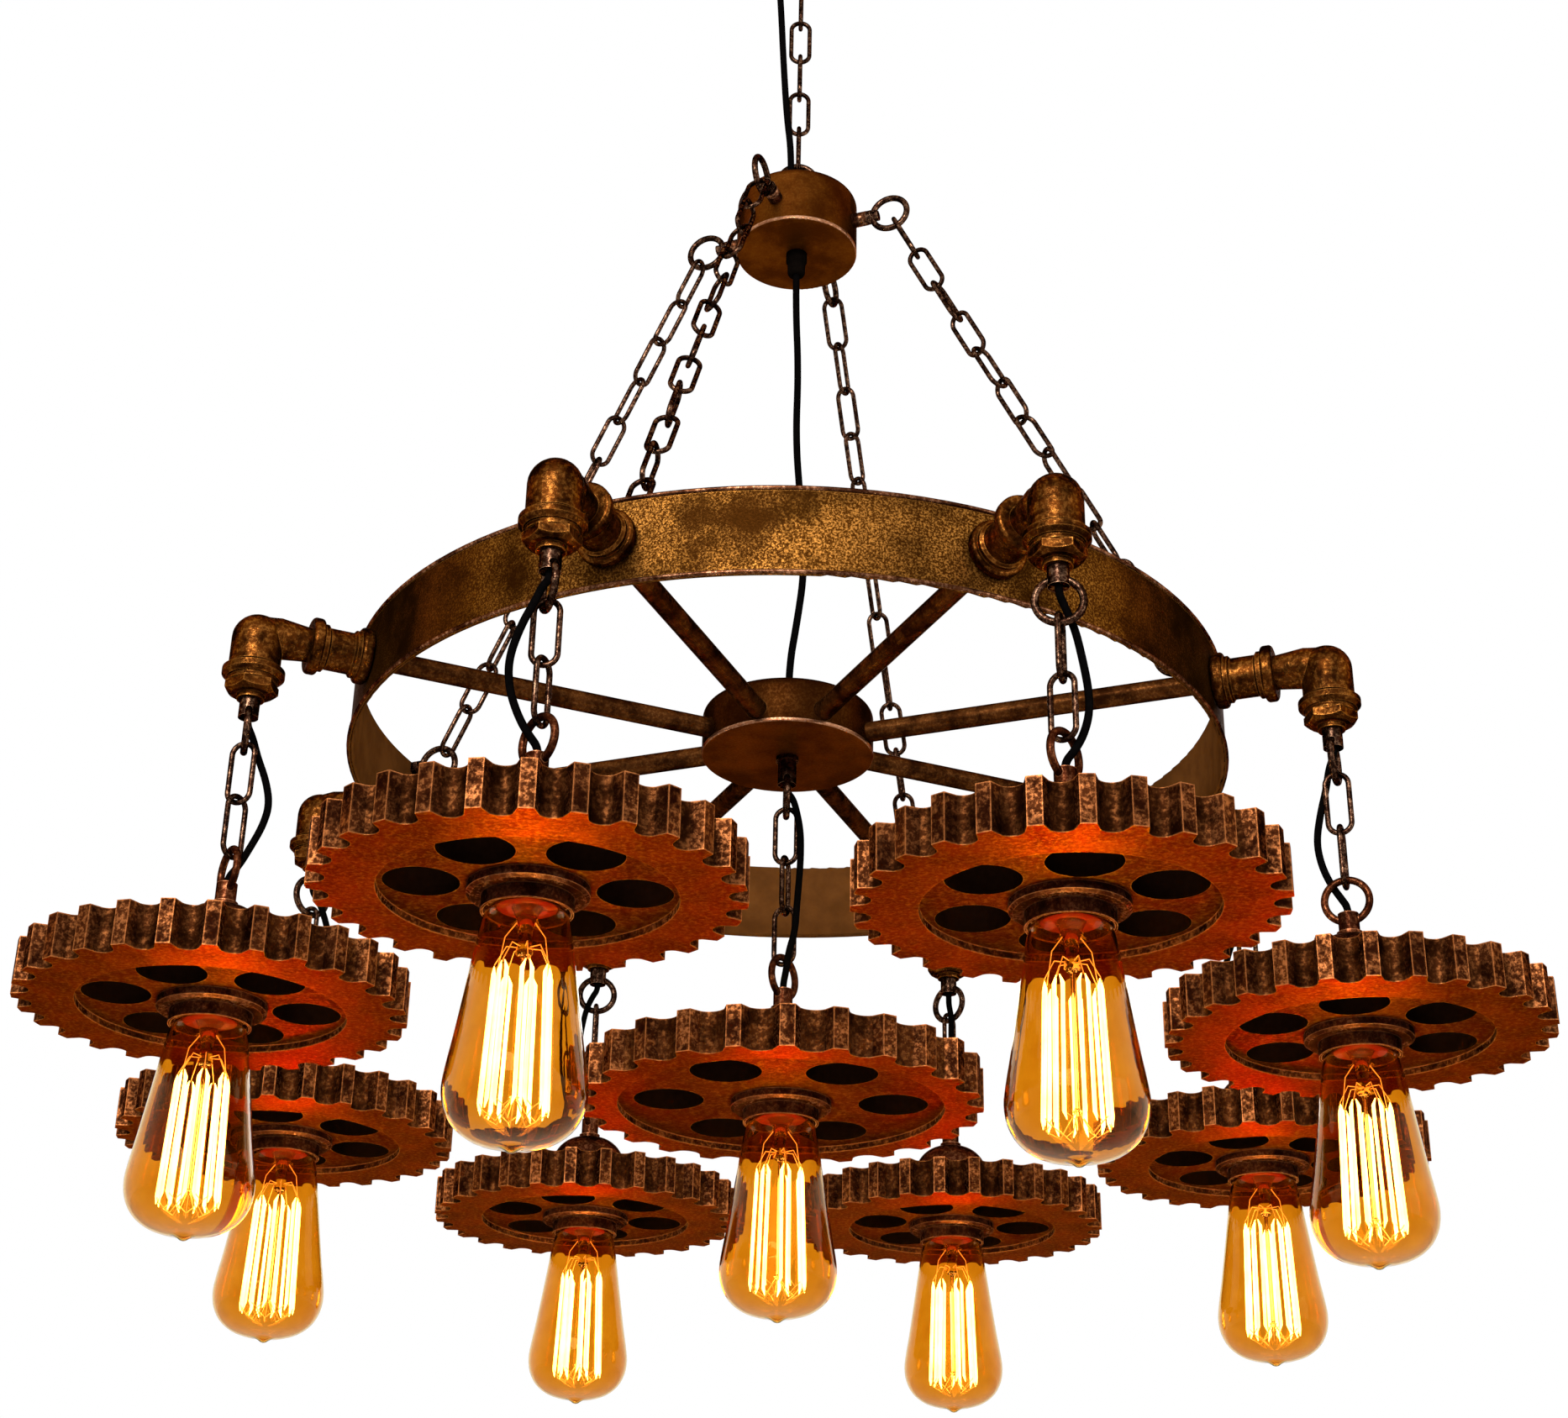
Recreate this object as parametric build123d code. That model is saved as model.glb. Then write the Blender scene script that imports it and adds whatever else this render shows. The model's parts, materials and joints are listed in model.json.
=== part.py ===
"""Chain-hung gear chandelier: a spoked wheel with eight pipe arms and nine gear pendants.

Millimetres, +Z up. The origin is the centre of the ceiling face, so everything hangs below z = 0.
The front pendants face -Y. Azimuths are counted from the front (-Y) towards +X.
"""

from build123d import *
import math
import os

# Fits
running_gap = 0.3  # between two links that hang in each other, and round what turns or slides in
seat_gap = 0.2  # round a stem, tube or cap in its hole

# Chain links and eye loops
link_length = 37.4
link_width = 15.5
link_wire = 3.0
eye_outer = 27.5
eye_wire = 4.0
eye_stem_bite = 7.5  # from the eye's centre to the end of the stem inside it

# Ceiling fitting
canopy_radius = 60.0
canopy_height = 28.0
canopy_wall = 1.5
canopy_collar_radius = 9.5
canopy_eye_drop = 23.6  # from the canopy's underside to the eye's centre
bracket_length = 96.0
bracket_width = 22.0
bracket_thickness = 3.0
bracket_hole_spacing = 70.0
bracket_hole_radius = 2.25
bracket_boss_radius = 11.0
bracket_boss_height = 9.0
loop_stem_radius = 5.5
main_links = 6

# Upper hub
upper_hub_radius = 39.5
upper_hub_height = 42.0
hub_wall = 2.0
hub_edge = 6.0
hub_eye_rise = 18.5  # from the hub's top to the centre of its top eye
side_stem_radius = 3.3
side_eye_reach = 64.6  # from the axis to the centres of the four side eyes
side_eye_drop = 3.6  # from the hub's middle down to its side eyes
side_collar_radius = 4.6
side_collar_length = 3.0
nut_radius = 5.5
nut_height = 4.0

# Suspension chains
suspension_links = 12
suspension_azimuths = [67.5, 157.5, -112.5, -22.5]

# Wheel
ring_radius = 256.3
ring_height = 51.0
ring_wall = 3.0
ring_bead = 1.3
ring_eye_radius = 236.0
ring_eye_below_top = 4.2
arm_count = 8
arm_first_azimuth = 22.5
spoke_radius = 6.0
spoke_bore_radius = 4.5
spoke_below_ring_top = 24.5
wheel_hub_radius = 51.0
wheel_hub_height = 30.0
spoke_bite = 6.0  # how far a spoke reaches into the wheel hub
spoke_in_coupling = 7.0  # how far it reaches into its coupling

# Pipe arms
coupling_length = 34.0
coupling_radius = 11.8
coupling_bead_radius = 16.0
coupling_bead_length = 6.5
coupling_step_radius = 13.4
coupling_step_length = 2.5
elbow_reach = 28.0  # from the elbow's centre to the coupling's end and to the elbow's lower face
elbow_radius = 14.0
elbow_crown_drop = 3.0  # from the arm's axis down to the centre of the elbow's round top
elbow_neck_radius = 9.6
elbow_neck_bite = 11.0  # length of the neck inside the coupling
elbow_throat_radius = 11.6
elbow_collar_radius = 17.0
elbow_collar_length = 8.0
bushing_neck_radius = 13.6
bushing_neck_height = 2.5
bushing_hex = 25.5
bushing_hex_height = 6.5
bushing_step_radius = 7.5
bushing_step_height = 3.0
bushing_to_eye = 18.2  # from the bushing's end to the centre of its eye
hub_to_eye = 25.5  # from the wheel hub's underside to the centre of its eye
stem_collar_radius = 6.7
stem_collar_height = 3.0
drop_links = 2
centre_drop_links = 3

# Lamp holder, measured down from its eye's centre
cup_top = 20.4
cup_radius = 24.0
cup_height = 33.7
cup_wall = 1.5
cup_dome = 17.0
cup_collar_radius = 6.8
cup_collar_height = 2.4
sleeve_radius = 21.0
sleeve_length = 31.3  # below the gear's top
sleeve_mouth_radius = 19.7
socket_top_above_gear = 5.0
lock_ring_radius = 28.0
lock_ring_height = 5.3

# Gears
gear_thickness = 23.0
gear_recess = 4.0
tooth_depth = 9.0
valley_rise = 2.6
outer_gear_radius = 99.2
outer_gear_teeth = 28
outer_tip_land = 7.0
outer_recess_radius = 68.3
outer_hole_radius = 17.5
outer_hole_circle = 48.0
centre_gear_radius = 112.5
centre_gear_teeth = 25
centre_tip_land = 8.0
centre_recess_radius = 91.0
centre_hole_radius = 19.5
centre_hole_circle = 62.5
gear_holes = 6

# Bulb
cap_radius = 13.25
cap_length = 27.0
cap_above_gear = 1.7
contact_radius = 5.0
contact_height = 2.0
glass_wall = 1.0
glass_neck_radius = 12.9
glass_shoulder_radius = 18.5
glass_shoulder = 6.0
glass_taper_radius = 20.5
glass_taper = 14.0
glass_radius = 32.0
glass_belly = 87.0
glass_round_radius = 5.0
glass_round = 112.5
glass_tip = 116.0
stem_length = 30.0
stem_radius = 5.0

# Cables
cable_diameter = 4.5
drop_cord_diameter = 4.0
grip_radius = 6.5
grip_height = 9.0
canopy_grip_offset = 17.0
hub_grip_place = (-5.0, -12.5)  # from the axis, X and Y
hub_grip_radius = 4.0

# The pendants' places, as name, azimuth from the front, rotation of the six gear holes, turn of the
# whole chain about the vertical, twist at each joint of the chain, and side that the cord hangs on
pendants = [
    ("front_right", 22.5, 0.0, -31.0, -11.0, 1),
    ("front_left", -22.5, -25.0, 131.5, -22.0, -1),
    ("right", 67.5, -16.0, 0.0, 0.0, 1),
    ("left", -67.5, -14.0, -10.0, -24.0, -1),
    ("back_right", 112.5, -28.0, 0.0, 0.0, 1),
    ("back_left", -112.5, 0.0, -20.0, 10.0, -1),
    ("rear_right", 157.5, -25.0, -21.0, 8.0, -1),
    ("rear_left", -157.5, -11.0, -19.0, -6.0, 1),
]
centre_hole_turn = 30.0
centre_twist = -9.0

# Worked-out sizes of the chain
eye_radius = (eye_outer - eye_wire) / 2
link_pitch = link_length - 2 * link_wire - running_gap
eye_to_link = link_length / 2 - link_wire + eye_radius - eye_wire / 2 - running_gap


def chain_span(links):
    """Distance between the centres of the two eyes that a taut chain joins."""
    return 2 * eye_to_link + (links - 1) * link_pitch


# Heights, from the ceiling down
canopy_eye_z = -canopy_height - canopy_eye_drop
hub_eye_z = canopy_eye_z - chain_span(main_links)
hub_top_z = hub_eye_z - hub_eye_rise
hub_middle_z = hub_top_z - upper_hub_height / 2
hub_bottom_z = hub_top_z - upper_hub_height
suspension_run = ring_eye_radius - side_eye_reach
suspension_drop = math.sqrt(chain_span(suspension_links) ** 2 - suspension_run**2)
side_eye_z = hub_middle_z - side_eye_drop
ring_eye_z = side_eye_z - suspension_drop
ring_top_z = ring_eye_z + ring_eye_below_top
spoke_z = ring_top_z - spoke_below_ring_top
wheel_hub_top_z = spoke_z + wheel_hub_height * 0.7
wheel_hub_bottom_z = wheel_hub_top_z - wheel_hub_height
coupling_start = ring_radius + running_gap
elbow_face = coupling_start + coupling_length
pendant_radius = elbow_face + elbow_reach
elbow_bottom_z = spoke_z - elbow_reach
bushing_bottom_z = elbow_bottom_z - bushing_neck_height - bushing_hex_height - bushing_step_height
arm_eye_z = bushing_bottom_z - bushing_to_eye
centre_eye_z = wheel_hub_bottom_z - hub_to_eye
gear_top = cup_top + cup_height
cap_bottom = gear_top - cap_above_gear + cap_length


def around(azimuth, radius, z):
    """Point at an azimuth counted from the front, at a radius from the axis."""
    turn = math.radians(azimuth)
    return Vector(radius * math.sin(turn), -radius * math.cos(turn), z)


def arm_place(azimuth, radius=0.0, z=0.0):
    """Local frame at an azimuth: X points outwards, Y along the tangent, Z up."""
    plane = Plane(origin=around(azimuth, radius, z), x_dir=around(azimuth, 1, 0), z_dir=(0, 0, 1))
    return plane.location


def turned(points):
    """Solid of revolution about Z from (radius, z) points in order round the profile."""
    profile = make_face(Polyline(*[(r, 0, z) for r, z in points], close=True))
    return revolve(profile, Axis.Z, 360)


def chain_link():
    """One stadium link of round wire, lying in XY with its length along X."""
    bend = (link_width - link_wire) / 2
    straight = (link_length - link_width) / 2
    half = Solid.make_cylinder(link_wire / 2, 2 * straight,
                               Plane(origin=(-straight, bend, 0), z_dir=(1, 0, 0)))
    other = half.mirror(Plane.XZ)
    end = revolve(Plane(origin=(straight, bend, 0), z_dir=(1, 0, 0)) * Circle(link_wire / 2),
                  Axis((straight, 0, 0), (0, 0, 1)), -180)
    far_end = end.mirror(Plane.YZ)
    return half.fuse(other, end.solid(), far_end.solid()).solid()


LINK = chain_link()


def chain(start, end, links, first_normal, twist=0.0):
    """Links from an eye at start to an eye at end, each a quarter turn and a twist past the last."""
    run = (end - start).normalized()
    pieces = []
    for number in range(links):
        centre = start + run * (eye_to_link + number * link_pitch)
        side = first_normal.rotate(Axis((0, 0, 0), tuple(run)), number * (90 + twist))
        pieces.append(LINK.moved(Plane(origin=centre, x_dir=run, z_dir=side).location))
    return pieces


def eye_loop(stem_end, stem_radius, collar=None):
    """Eye in the XZ plane about the origin, with its stem up to stem_end along +Z."""
    ring = Solid.make_torus(eye_radius, eye_wire / 2, Plane(origin=(0, 0, 0), z_dir=(0, 1, 0)))
    stem = Solid.make_cylinder(stem_radius, stem_end - eye_stem_bite,
                               Plane(origin=(0, 0, eye_stem_bite), z_dir=(0, 0, 1)))
    body = ring.fuse(stem)
    if collar:
        radius, low, high = collar
        body = body.fuse(Solid.make_cylinder(radius, high - low,
                                             Plane(origin=(0, 0, low), z_dir=(0, 0, 1))))
    return body.solid()


def cord_tube(name, points, diameter):
    """Round cord along straight runs joined by arcs that are as large as the runs allow."""
    points = [Vector(*p) for p in points]
    radii = []
    for before, here, after in zip(points, points[1:], points[2:]):
        turn = math.radians((here - before).get_angle(after - here))
        radii.append(0.45 * min((here - before).length, (after - here).length) / math.tan(turn / 2))
    path = FilletPolyline(*points, radius=radii)
    start = Plane(origin=points[0], z_dir=points[1] - points[0])
    tube = sweep(start * Circle(diameter / 2), path=path).solid()
    length = path.length
    share = tube.volume / (math.pi * diameter**2 / 4 * length)
    print(name, "length", round(length, 1), "smallest radius", round(min(radii), 1),
          "volume share", round(share, 4))
    return tube


def ceiling_bracket():
    """Flat bar against the ceiling, with two screw holes and a boss that the loop screws into."""
    bar = Box(bracket_length, bracket_width, bracket_thickness,
              align=(Align.CENTER, Align.CENTER, Align.MAX))
    bar = fillet(bar.edges().filter_by(Axis.Z), bracket_width * 0.3)
    for side in (-1, 1):
        hole = Cylinder(bracket_hole_radius, 3 * bracket_thickness)
        bar -= Pos(side * bracket_hole_spacing / 2, 0, 0) * hole
    boss = Pos(0, 0, -bracket_thickness) * Cylinder(
        bracket_boss_radius, bracket_boss_height, align=(Align.CENTER, Align.CENTER, Align.MAX))
    bore = Pos(0, 0, -bracket_thickness) * Cylinder(
        loop_stem_radius + seat_gap, 2 * bracket_boss_height,
        align=(Align.CENTER, Align.CENTER, Align.MAX))
    return [(bar + boss - bore).solid()]


def ceiling_canopy():
    """Round pan with its open side on the ceiling."""
    inner = canopy_radius - canopy_wall
    lip = canopy_height * 0.35
    pan = turned([
        (canopy_radius, 0),
        (canopy_radius, -lip),
        (canopy_radius * 0.86, -canopy_height + canopy_wall),
        (canopy_radius * 0.8, -canopy_height),
        (loop_stem_radius + seat_gap, -canopy_height),
        (loop_stem_radius + seat_gap, -canopy_height + canopy_wall),
        (canopy_radius * 0.78, -canopy_height + canopy_wall),
        (inner, -lip),
        (inner, 0),
    ])
    return [pan.solid()]


def canopy_loop():
    """Loop under the canopy. Its stem passes the pan and screws into the bracket."""
    stem_end = -canopy_eye_z - bracket_thickness - running_gap
    collar_top = canopy_eye_drop
    loop = eye_loop(stem_end, loop_stem_radius, (canopy_collar_radius, collar_top - 4, collar_top))
    return [loop.moved(Location((0, 0, canopy_eye_z), (0, 0, 90)))]


def grip(radius=grip_radius):
    """Cable grip: a stepped collar standing on +Z, with the cable's end on its top."""
    tip = cable_diameter / 2 + 0.2
    return turned([
        (0, 0),
        (radius, 0),
        (radius, grip_height * 0.45),
        (radius - 0.8, grip_height * 0.55),
        (tip, grip_height),
        (0, grip_height),
    ]).solid()


def hub_shell(radius, height, wall):
    """Canister from z = 0 up, open below, with a rounded upper edge."""
    can = Cylinder(radius, height, align=(Align.CENTER, Align.CENTER, Align.MIN))
    can = fillet(can.edges().sort_by(Axis.Z)[-1], hub_edge)
    room = Cylinder(radius - wall, height - wall, align=(Align.CENTER, Align.CENTER, Align.MIN))
    return can - room


def hub_cover(radius, wall):
    """Disc that closes a canister, hanging below z = 0, with a rounded lower edge."""
    disc = Cylinder(radius, wall, align=(Align.CENTER, Align.CENTER, Align.MAX))
    return fillet(disc.edges().sort_by(Axis.Z)[0], wall * 0.45).solid()


def side_eye(reach, wall_radius, outwards, nut):
    """Eye centred at reach in the XZ plane, on a level stem along X with a nut or a collar."""
    ring = Solid.make_torus(eye_radius, eye_wire / 2, Plane(origin=(reach, 0, 0), z_dir=(0, 1, 0)))
    low, high = sorted((wall_radius, reach - outwards * eye_stem_bite))
    stem = Solid.make_cylinder(side_stem_radius, high - low, Plane(origin=(low, 0, 0), z_dir=(1, 0, 0)))
    if nut:
        place = Plane(origin=(wall_radius, 0, 0), z_dir=(outwards, 0, 0))
        boss = extrude(place * RegularPolygon(nut_radius, 6), nut_height).solid()
    else:
        start = reach - outwards * (eye_outer / 2 + side_collar_length * 0.5)
        place = Plane(origin=(start, 0, 0), z_dir=(outwards, 0, 0))
        boss = Solid.make_cylinder(side_collar_radius, side_collar_length, place)
    return ring.fuse(stem, boss).solid()


def wheel_ring():
    """Flat band with a round bead along each edge, drilled for the spokes."""
    inner = ring_radius - ring_wall
    middle = ring_radius - ring_wall / 2
    low = ring_top_z - ring_height
    low_round = low + ring_wall / 2
    top_round = ring_top_z - ring_wall / 2
    band = revolve(make_face([
        Line((ring_radius, 0, low_round), (ring_radius, 0, top_round)),
        ThreePointArc((ring_radius, 0, top_round), (middle, 0, ring_top_z), (inner, 0, top_round)),
        Line((inner, 0, top_round), (inner, 0, low_round)),
        ThreePointArc((inner, 0, low_round), (middle, 0, low), (ring_radius, 0, low_round)),
    ]), Axis.Z, 360)
    for bead_z in (low + ring_bead, ring_top_z - ring_bead):
        band += Solid.make_torus(ring_radius, ring_bead, Plane(origin=(0, 0, bead_z), z_dir=(0, 0, 1)))
    for azimuth in arm_azimuths():
        drill = Solid.make_cylinder(spoke_radius + seat_gap, 4 * ring_wall,
                                    Plane(origin=(ring_radius - 2.5 * ring_wall, 0, 0), z_dir=(1, 0, 0)))
        band -= drill.moved(arm_place(azimuth, 0, spoke_z))
    return [band.solid()]


def arm_azimuths():
    """Azimuths of the arms, evenly spaced."""
    return [arm_first_azimuth + number * 360 / arm_count for number in range(arm_count)]


def spoke():
    """Tube along X from inside the wheel hub, through the band and into the coupling."""
    start = wheel_hub_radius - spoke_bite
    length = coupling_start + spoke_in_coupling - start
    place = Plane(origin=(start, 0, 0), z_dir=(1, 0, 0))
    bore = Solid.make_cylinder(spoke_bore_radius, length, place)
    return Solid.make_cylinder(spoke_radius, length, place) - bore


def coupling():
    """Pipe coupling along X: a stepped bead at each end, and a bore that takes the elbow's neck."""
    bore = spoke_radius + seat_gap
    neck_bore = elbow_neck_radius + seat_gap
    end = coupling_length
    step_end = coupling_bead_length + coupling_step_length
    body = turned([
        (bore, 0),
        (coupling_bead_radius, 0),
        (coupling_bead_radius, coupling_bead_length),
        (coupling_step_radius, coupling_bead_length),
        (coupling_step_radius, step_end),
        (coupling_radius, step_end + coupling_step_length * 0.5),
        (coupling_radius, end - step_end - coupling_step_length * 0.5),
        (coupling_step_radius, end - step_end),
        (coupling_step_radius, end - coupling_bead_length),
        (coupling_bead_radius, end - coupling_bead_length),
        (coupling_bead_radius, end),
        (neck_bore, end),
        (neck_bore, end - elbow_neck_bite - seat_gap),
        (bore, end - elbow_neck_bite - seat_gap),
    ])
    rim = body.edges().filter_by(GeomType.CIRCLE).group_by(SortBy.RADIUS)[-1]
    body = fillet(rim, coupling_bead_length * 0.3)
    return body.moved(Location((coupling_start, 0, 0), (0, 90, 0))).solid()


def elbow():
    """Street elbow: neck along X inside the coupling, round body, collar round its lower face."""
    low = -elbow_reach
    collar_round = elbow_collar_length * 0.3
    collar_top = low + elbow_collar_length
    slant = elbow_radius * math.sin(math.radians(45))
    body = revolve(make_face([
        Line((0, 0, low), (elbow_collar_radius - collar_round, 0, low)),
        Line((elbow_collar_radius - collar_round, 0, low), (elbow_collar_radius, 0, low + collar_round)),
        Line((elbow_collar_radius, 0, low + collar_round),
             (elbow_collar_radius, 0, collar_top - collar_round)),
        Line((elbow_collar_radius, 0, collar_top - collar_round), (elbow_radius, 0, collar_top)),
        Line((elbow_radius, 0, collar_top), (elbow_radius, 0, -elbow_crown_drop)),
        ThreePointArc((elbow_radius, 0, -elbow_crown_drop), (slant, 0, slant - elbow_crown_drop),
                      (0, 0, elbow_radius - elbow_crown_drop)),
        Line((0, 0, elbow_radius - elbow_crown_drop), (0, 0, low)),
    ]), Axis.Z, 360)
    throat = elbow_reach - elbow_radius * 0.8
    arm = turned([
        (0, -elbow_neck_bite),
        (elbow_neck_radius, -elbow_neck_bite),
        (elbow_neck_radius, 0),
        (elbow_throat_radius, throat),
        (elbow_throat_radius * 0.9, elbow_reach),
        (0, elbow_reach),
    ])
    return (body.moved(Location((pendant_radius, 0, 0)))
            + arm.moved(Location((elbow_face, 0, 0), (0, 90, 0)))).solid()


def bushing():
    """Hexagon plug below an elbow, with a round neck above and a step below."""
    neck = Cylinder(bushing_neck_radius, bushing_neck_height,
                    align=(Align.CENTER, Align.CENTER, Align.MAX))
    flange = Pos(0, 0, -bushing_neck_height - bushing_hex_height) * extrude(
        RegularPolygon(bushing_hex / 2, 6, major_radius=False), bushing_hex_height)
    cone = Pos(0, 0, -bushing_neck_height - bushing_hex_height) * Cone(
        bushing_hex * 0.42, bushing_hex * 0.42 + bushing_hex_height * 1.6, bushing_hex_height,
        align=(Align.CENTER, Align.CENTER, Align.MIN))
    step = Pos(0, 0, -bushing_neck_height - bushing_hex_height) * Cylinder(
        bushing_step_radius, bushing_step_height, align=(Align.CENTER, Align.CENTER, Align.MAX))
    return (neck + (flange & cone) + step).solid()


def gear(radius, teeth, tip_land, recess_radius, hole_radius, hole_circle, first_hole):
    """Spur gear below z = 0: trapezoid teeth, rounded valleys, dished faces, six round holes."""
    pitch = 360 / teeth
    tip_half = math.degrees(tip_land / radius) / 2
    root = radius - tooth_depth
    valley_half = pitch * 0.24
    edges = []

    def at(angle, r):
        return around(angle, r, 0)

    for number in range(teeth):
        middle = number * pitch
        tip_start = at(middle - tip_half, radius)
        tip_end = at(middle + tip_half, radius)
        valley = middle + pitch / 2
        valley_start = at(valley - valley_half, root + valley_rise)
        valley_end = at(valley + valley_half, root + valley_rise)
        next_tip = at(middle + pitch - tip_half, radius)
        edges.append(ThreePointArc(tip_start, at(middle, radius), tip_end))
        edges.append(Line(tip_end, valley_start))
        edges.append(ThreePointArc(valley_start, at(valley, root), valley_end))
        edges.append(Line(valley_end, next_tip))
    outline = make_face(edges)
    blank = outline.face() - Circle(sleeve_radius + running_gap).face()
    for number in range(gear_holes):
        spot = around(first_hole + number * 360 / gear_holes, hole_circle, 0)
        blank = blank - Pos(spot.X, spot.Y, 0) * Circle(hole_radius)
    wheel = extrude(blank, amount=gear_thickness)
    wheel = Pos(0, 0, -gear_thickness) * wheel
    land = cup_radius + 2
    dish = Cylinder(recess_radius, gear_recess, align=(Align.CENTER, Align.CENTER, Align.MIN))
    wheel -= Pos(0, 0, -gear_thickness) * dish
    upper = dish - Cylinder(land, gear_recess, align=(Align.CENTER, Align.CENTER, Align.MIN))
    wheel -= Pos(0, 0, -gear_recess) * upper
    return wheel.solid()


def lamp_holder():
    """Loop, cup, socket and lock ring, measured down from the loop's centre."""
    stem_end = gear_top - socket_top_above_gear
    loop = eye_loop(stem_end, loop_stem_radius,
                    (cup_collar_radius, cup_top - cup_collar_height, cup_top)).rotate(Axis.X, 180)
    hole = loop_stem_radius + seat_gap
    dome_low = cup_top + cup_dome
    inner = cup_radius - cup_wall
    outer_arc = ThreePointArc((hole, 0, -cup_top), (cup_radius * 0.79, 0, -cup_top - cup_dome * 0.36),
                              (cup_radius, 0, -dome_low))
    inner_arc = ThreePointArc((inner, 0, -dome_low),
                              (inner * 0.79, 0, -cup_top - cup_wall - cup_dome * 0.36),
                              (hole, 0, -cup_top - cup_wall))
    cup = revolve(make_face([
        outer_arc,
        Line((cup_radius, 0, -dome_low), (cup_radius, 0, -gear_top)),
        Line((cup_radius, 0, -gear_top), (inner, 0, -gear_top)),
        Line((inner, 0, -gear_top), (inner, 0, -dome_low)),
        inner_arc,
        Line((hole, 0, -cup_top - cup_wall), (hole, 0, -cup_top)),
    ]), Axis.Z, 360)
    top = -gear_top + socket_top_above_gear
    low = -gear_top - sleeve_length
    roof = -gear_top + cap_above_gear + contact_height + running_gap
    socket = turned([
        (0, top),
        (sleeve_radius, top),
        (sleeve_radius, low),
        (sleeve_mouth_radius, low),
        (sleeve_mouth_radius, -cap_bottom + seat_gap),
        (cap_radius + seat_gap, -cap_bottom + 2 * seat_gap),
        (cap_radius + seat_gap, roof),
        (0, roof),
    ])
    seat = -gear_top - gear_thickness + gear_recess
    lock_ring = turned([
        (sleeve_radius + seat_gap, seat),
        (lock_ring_radius, seat),
        (lock_ring_radius, seat - lock_ring_height * 0.75),
        (lock_ring_radius - 2, seat - lock_ring_height),
        (sleeve_radius + seat_gap, seat - lock_ring_height),
    ])
    return [loop, cup.solid(), socket.solid(), lock_ring.solid()]


def glass_body(inset, neck):
    """Bulb glass as a full solid, measured down from the cap's lower edge, shrunk by inset."""
    shift = inset * 0.6
    points = [
        (glass_neck_radius - inset, neck),
        (glass_neck_radius - inset, -0.5 - shift),
        (glass_shoulder_radius - inset, -glass_shoulder - shift),
        (glass_taper_radius - inset, -glass_taper),
        (glass_radius - inset, -glass_belly),
    ]
    sides = [Line((a[0], 0, a[1]), (b[0], 0, b[1])) for a, b in zip(points, points[1:])]
    belly = (glass_radius - inset, 0, -glass_belly)
    shoulder = ((glass_radius - inset) * 0.76, 0,
                -glass_belly - (glass_round - glass_belly - inset) * 0.72)
    crown = (glass_round_radius, 0, -glass_round + inset)
    tip = -glass_tip + inset
    outline = [Line((0, 0, neck), (points[0][0], 0, neck))] + sides + [
        ThreePointArc(belly, shoulder, crown),
        Line(crown, (glass_round_radius * 0.4, 0, tip + 0.4)),
        Line((glass_round_radius * 0.4, 0, tip + 0.4), (0, 0, tip)),
        Line((0, 0, tip), (0, 0, neck)),
    ]
    return revolve(make_face(outline), Axis.Z, 360)


def bulb():
    """Tapered filament bulb: screw cap, thin glass open at its neck, and the stem inside."""
    cap = turned([
        (0, contact_height - cap_bottom + cap_length),
        (contact_radius, contact_height - cap_bottom + cap_length),
        (cap_radius * 0.75, -cap_bottom + cap_length),
        (cap_radius, -cap_bottom + cap_length - 3),
        (cap_radius, -cap_bottom),
        (0, -cap_bottom),
    ])
    glass = (glass_body(0, 0) - glass_body(glass_wall, 1)).moved(Location((0, 0, -cap_bottom)))
    flare = glass_neck_radius - glass_wall - running_gap
    stem = turned([
        (0, -cap_bottom),
        (flare, -cap_bottom),
        (stem_radius, -cap_bottom - stem_length * 0.3),
        (stem_radius * 0.7, -cap_bottom - stem_length),
        (0, -cap_bottom - stem_length),
    ])
    return [glass.solid(), cap.solid(), stem.solid()]


def drop_cord(links, side, twist):
    """Points of a drop cord about the upper eye: out of its stem, beside the links, into the next."""
    foot = -chain_span(links)
    if links > 2:
        middle = [
            (-6.5, 6.0 * side, -12.5),
            (-9.5, 7.0 * side, -26.0),
            (-10.5, 7.0 * side, -42.0),
            (-10.5, 7.0 * side, -58.0),
            (-10.5, 7.5 * side, -74.0),
            (-10.5, 7.0 * side, foot + 24.0),
        ]
    else:
        middle = [
            (-6.5, 6.5 * side, -12.5),
            (-11.0, 8.0 * side, -26.0),
            (-14.5, 8.5 * side, -42.0),
            (-13.0, 8.0 * side, foot + 25.6),
        ]
    if links % 2:
        end = [(-7.0, 6.5 * side, foot + 12.5), (-3.8, 3.0 * side, foot + 2.5)]
    else:
        end = [(-8.5, 6.0 * side, foot + 12.5), (-3.0, 3.8 * side, foot + 2.5)]
    route = [(0, 0, eye_stem_bite), (0, 0, 3.5), (-3.8, 3.0 * side, -2.5)] + middle + end + [
        (0, 0, foot - 3.5), (0, 0, foot - eye_stem_bite)]
    turns = [(links + 1) * twist * min(max(z / foot, 0), 1) for x, y, z in route]
    return [Vector(*point).rotate(Axis.Z, turn) for point, turn in zip(route, turns)]


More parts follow.
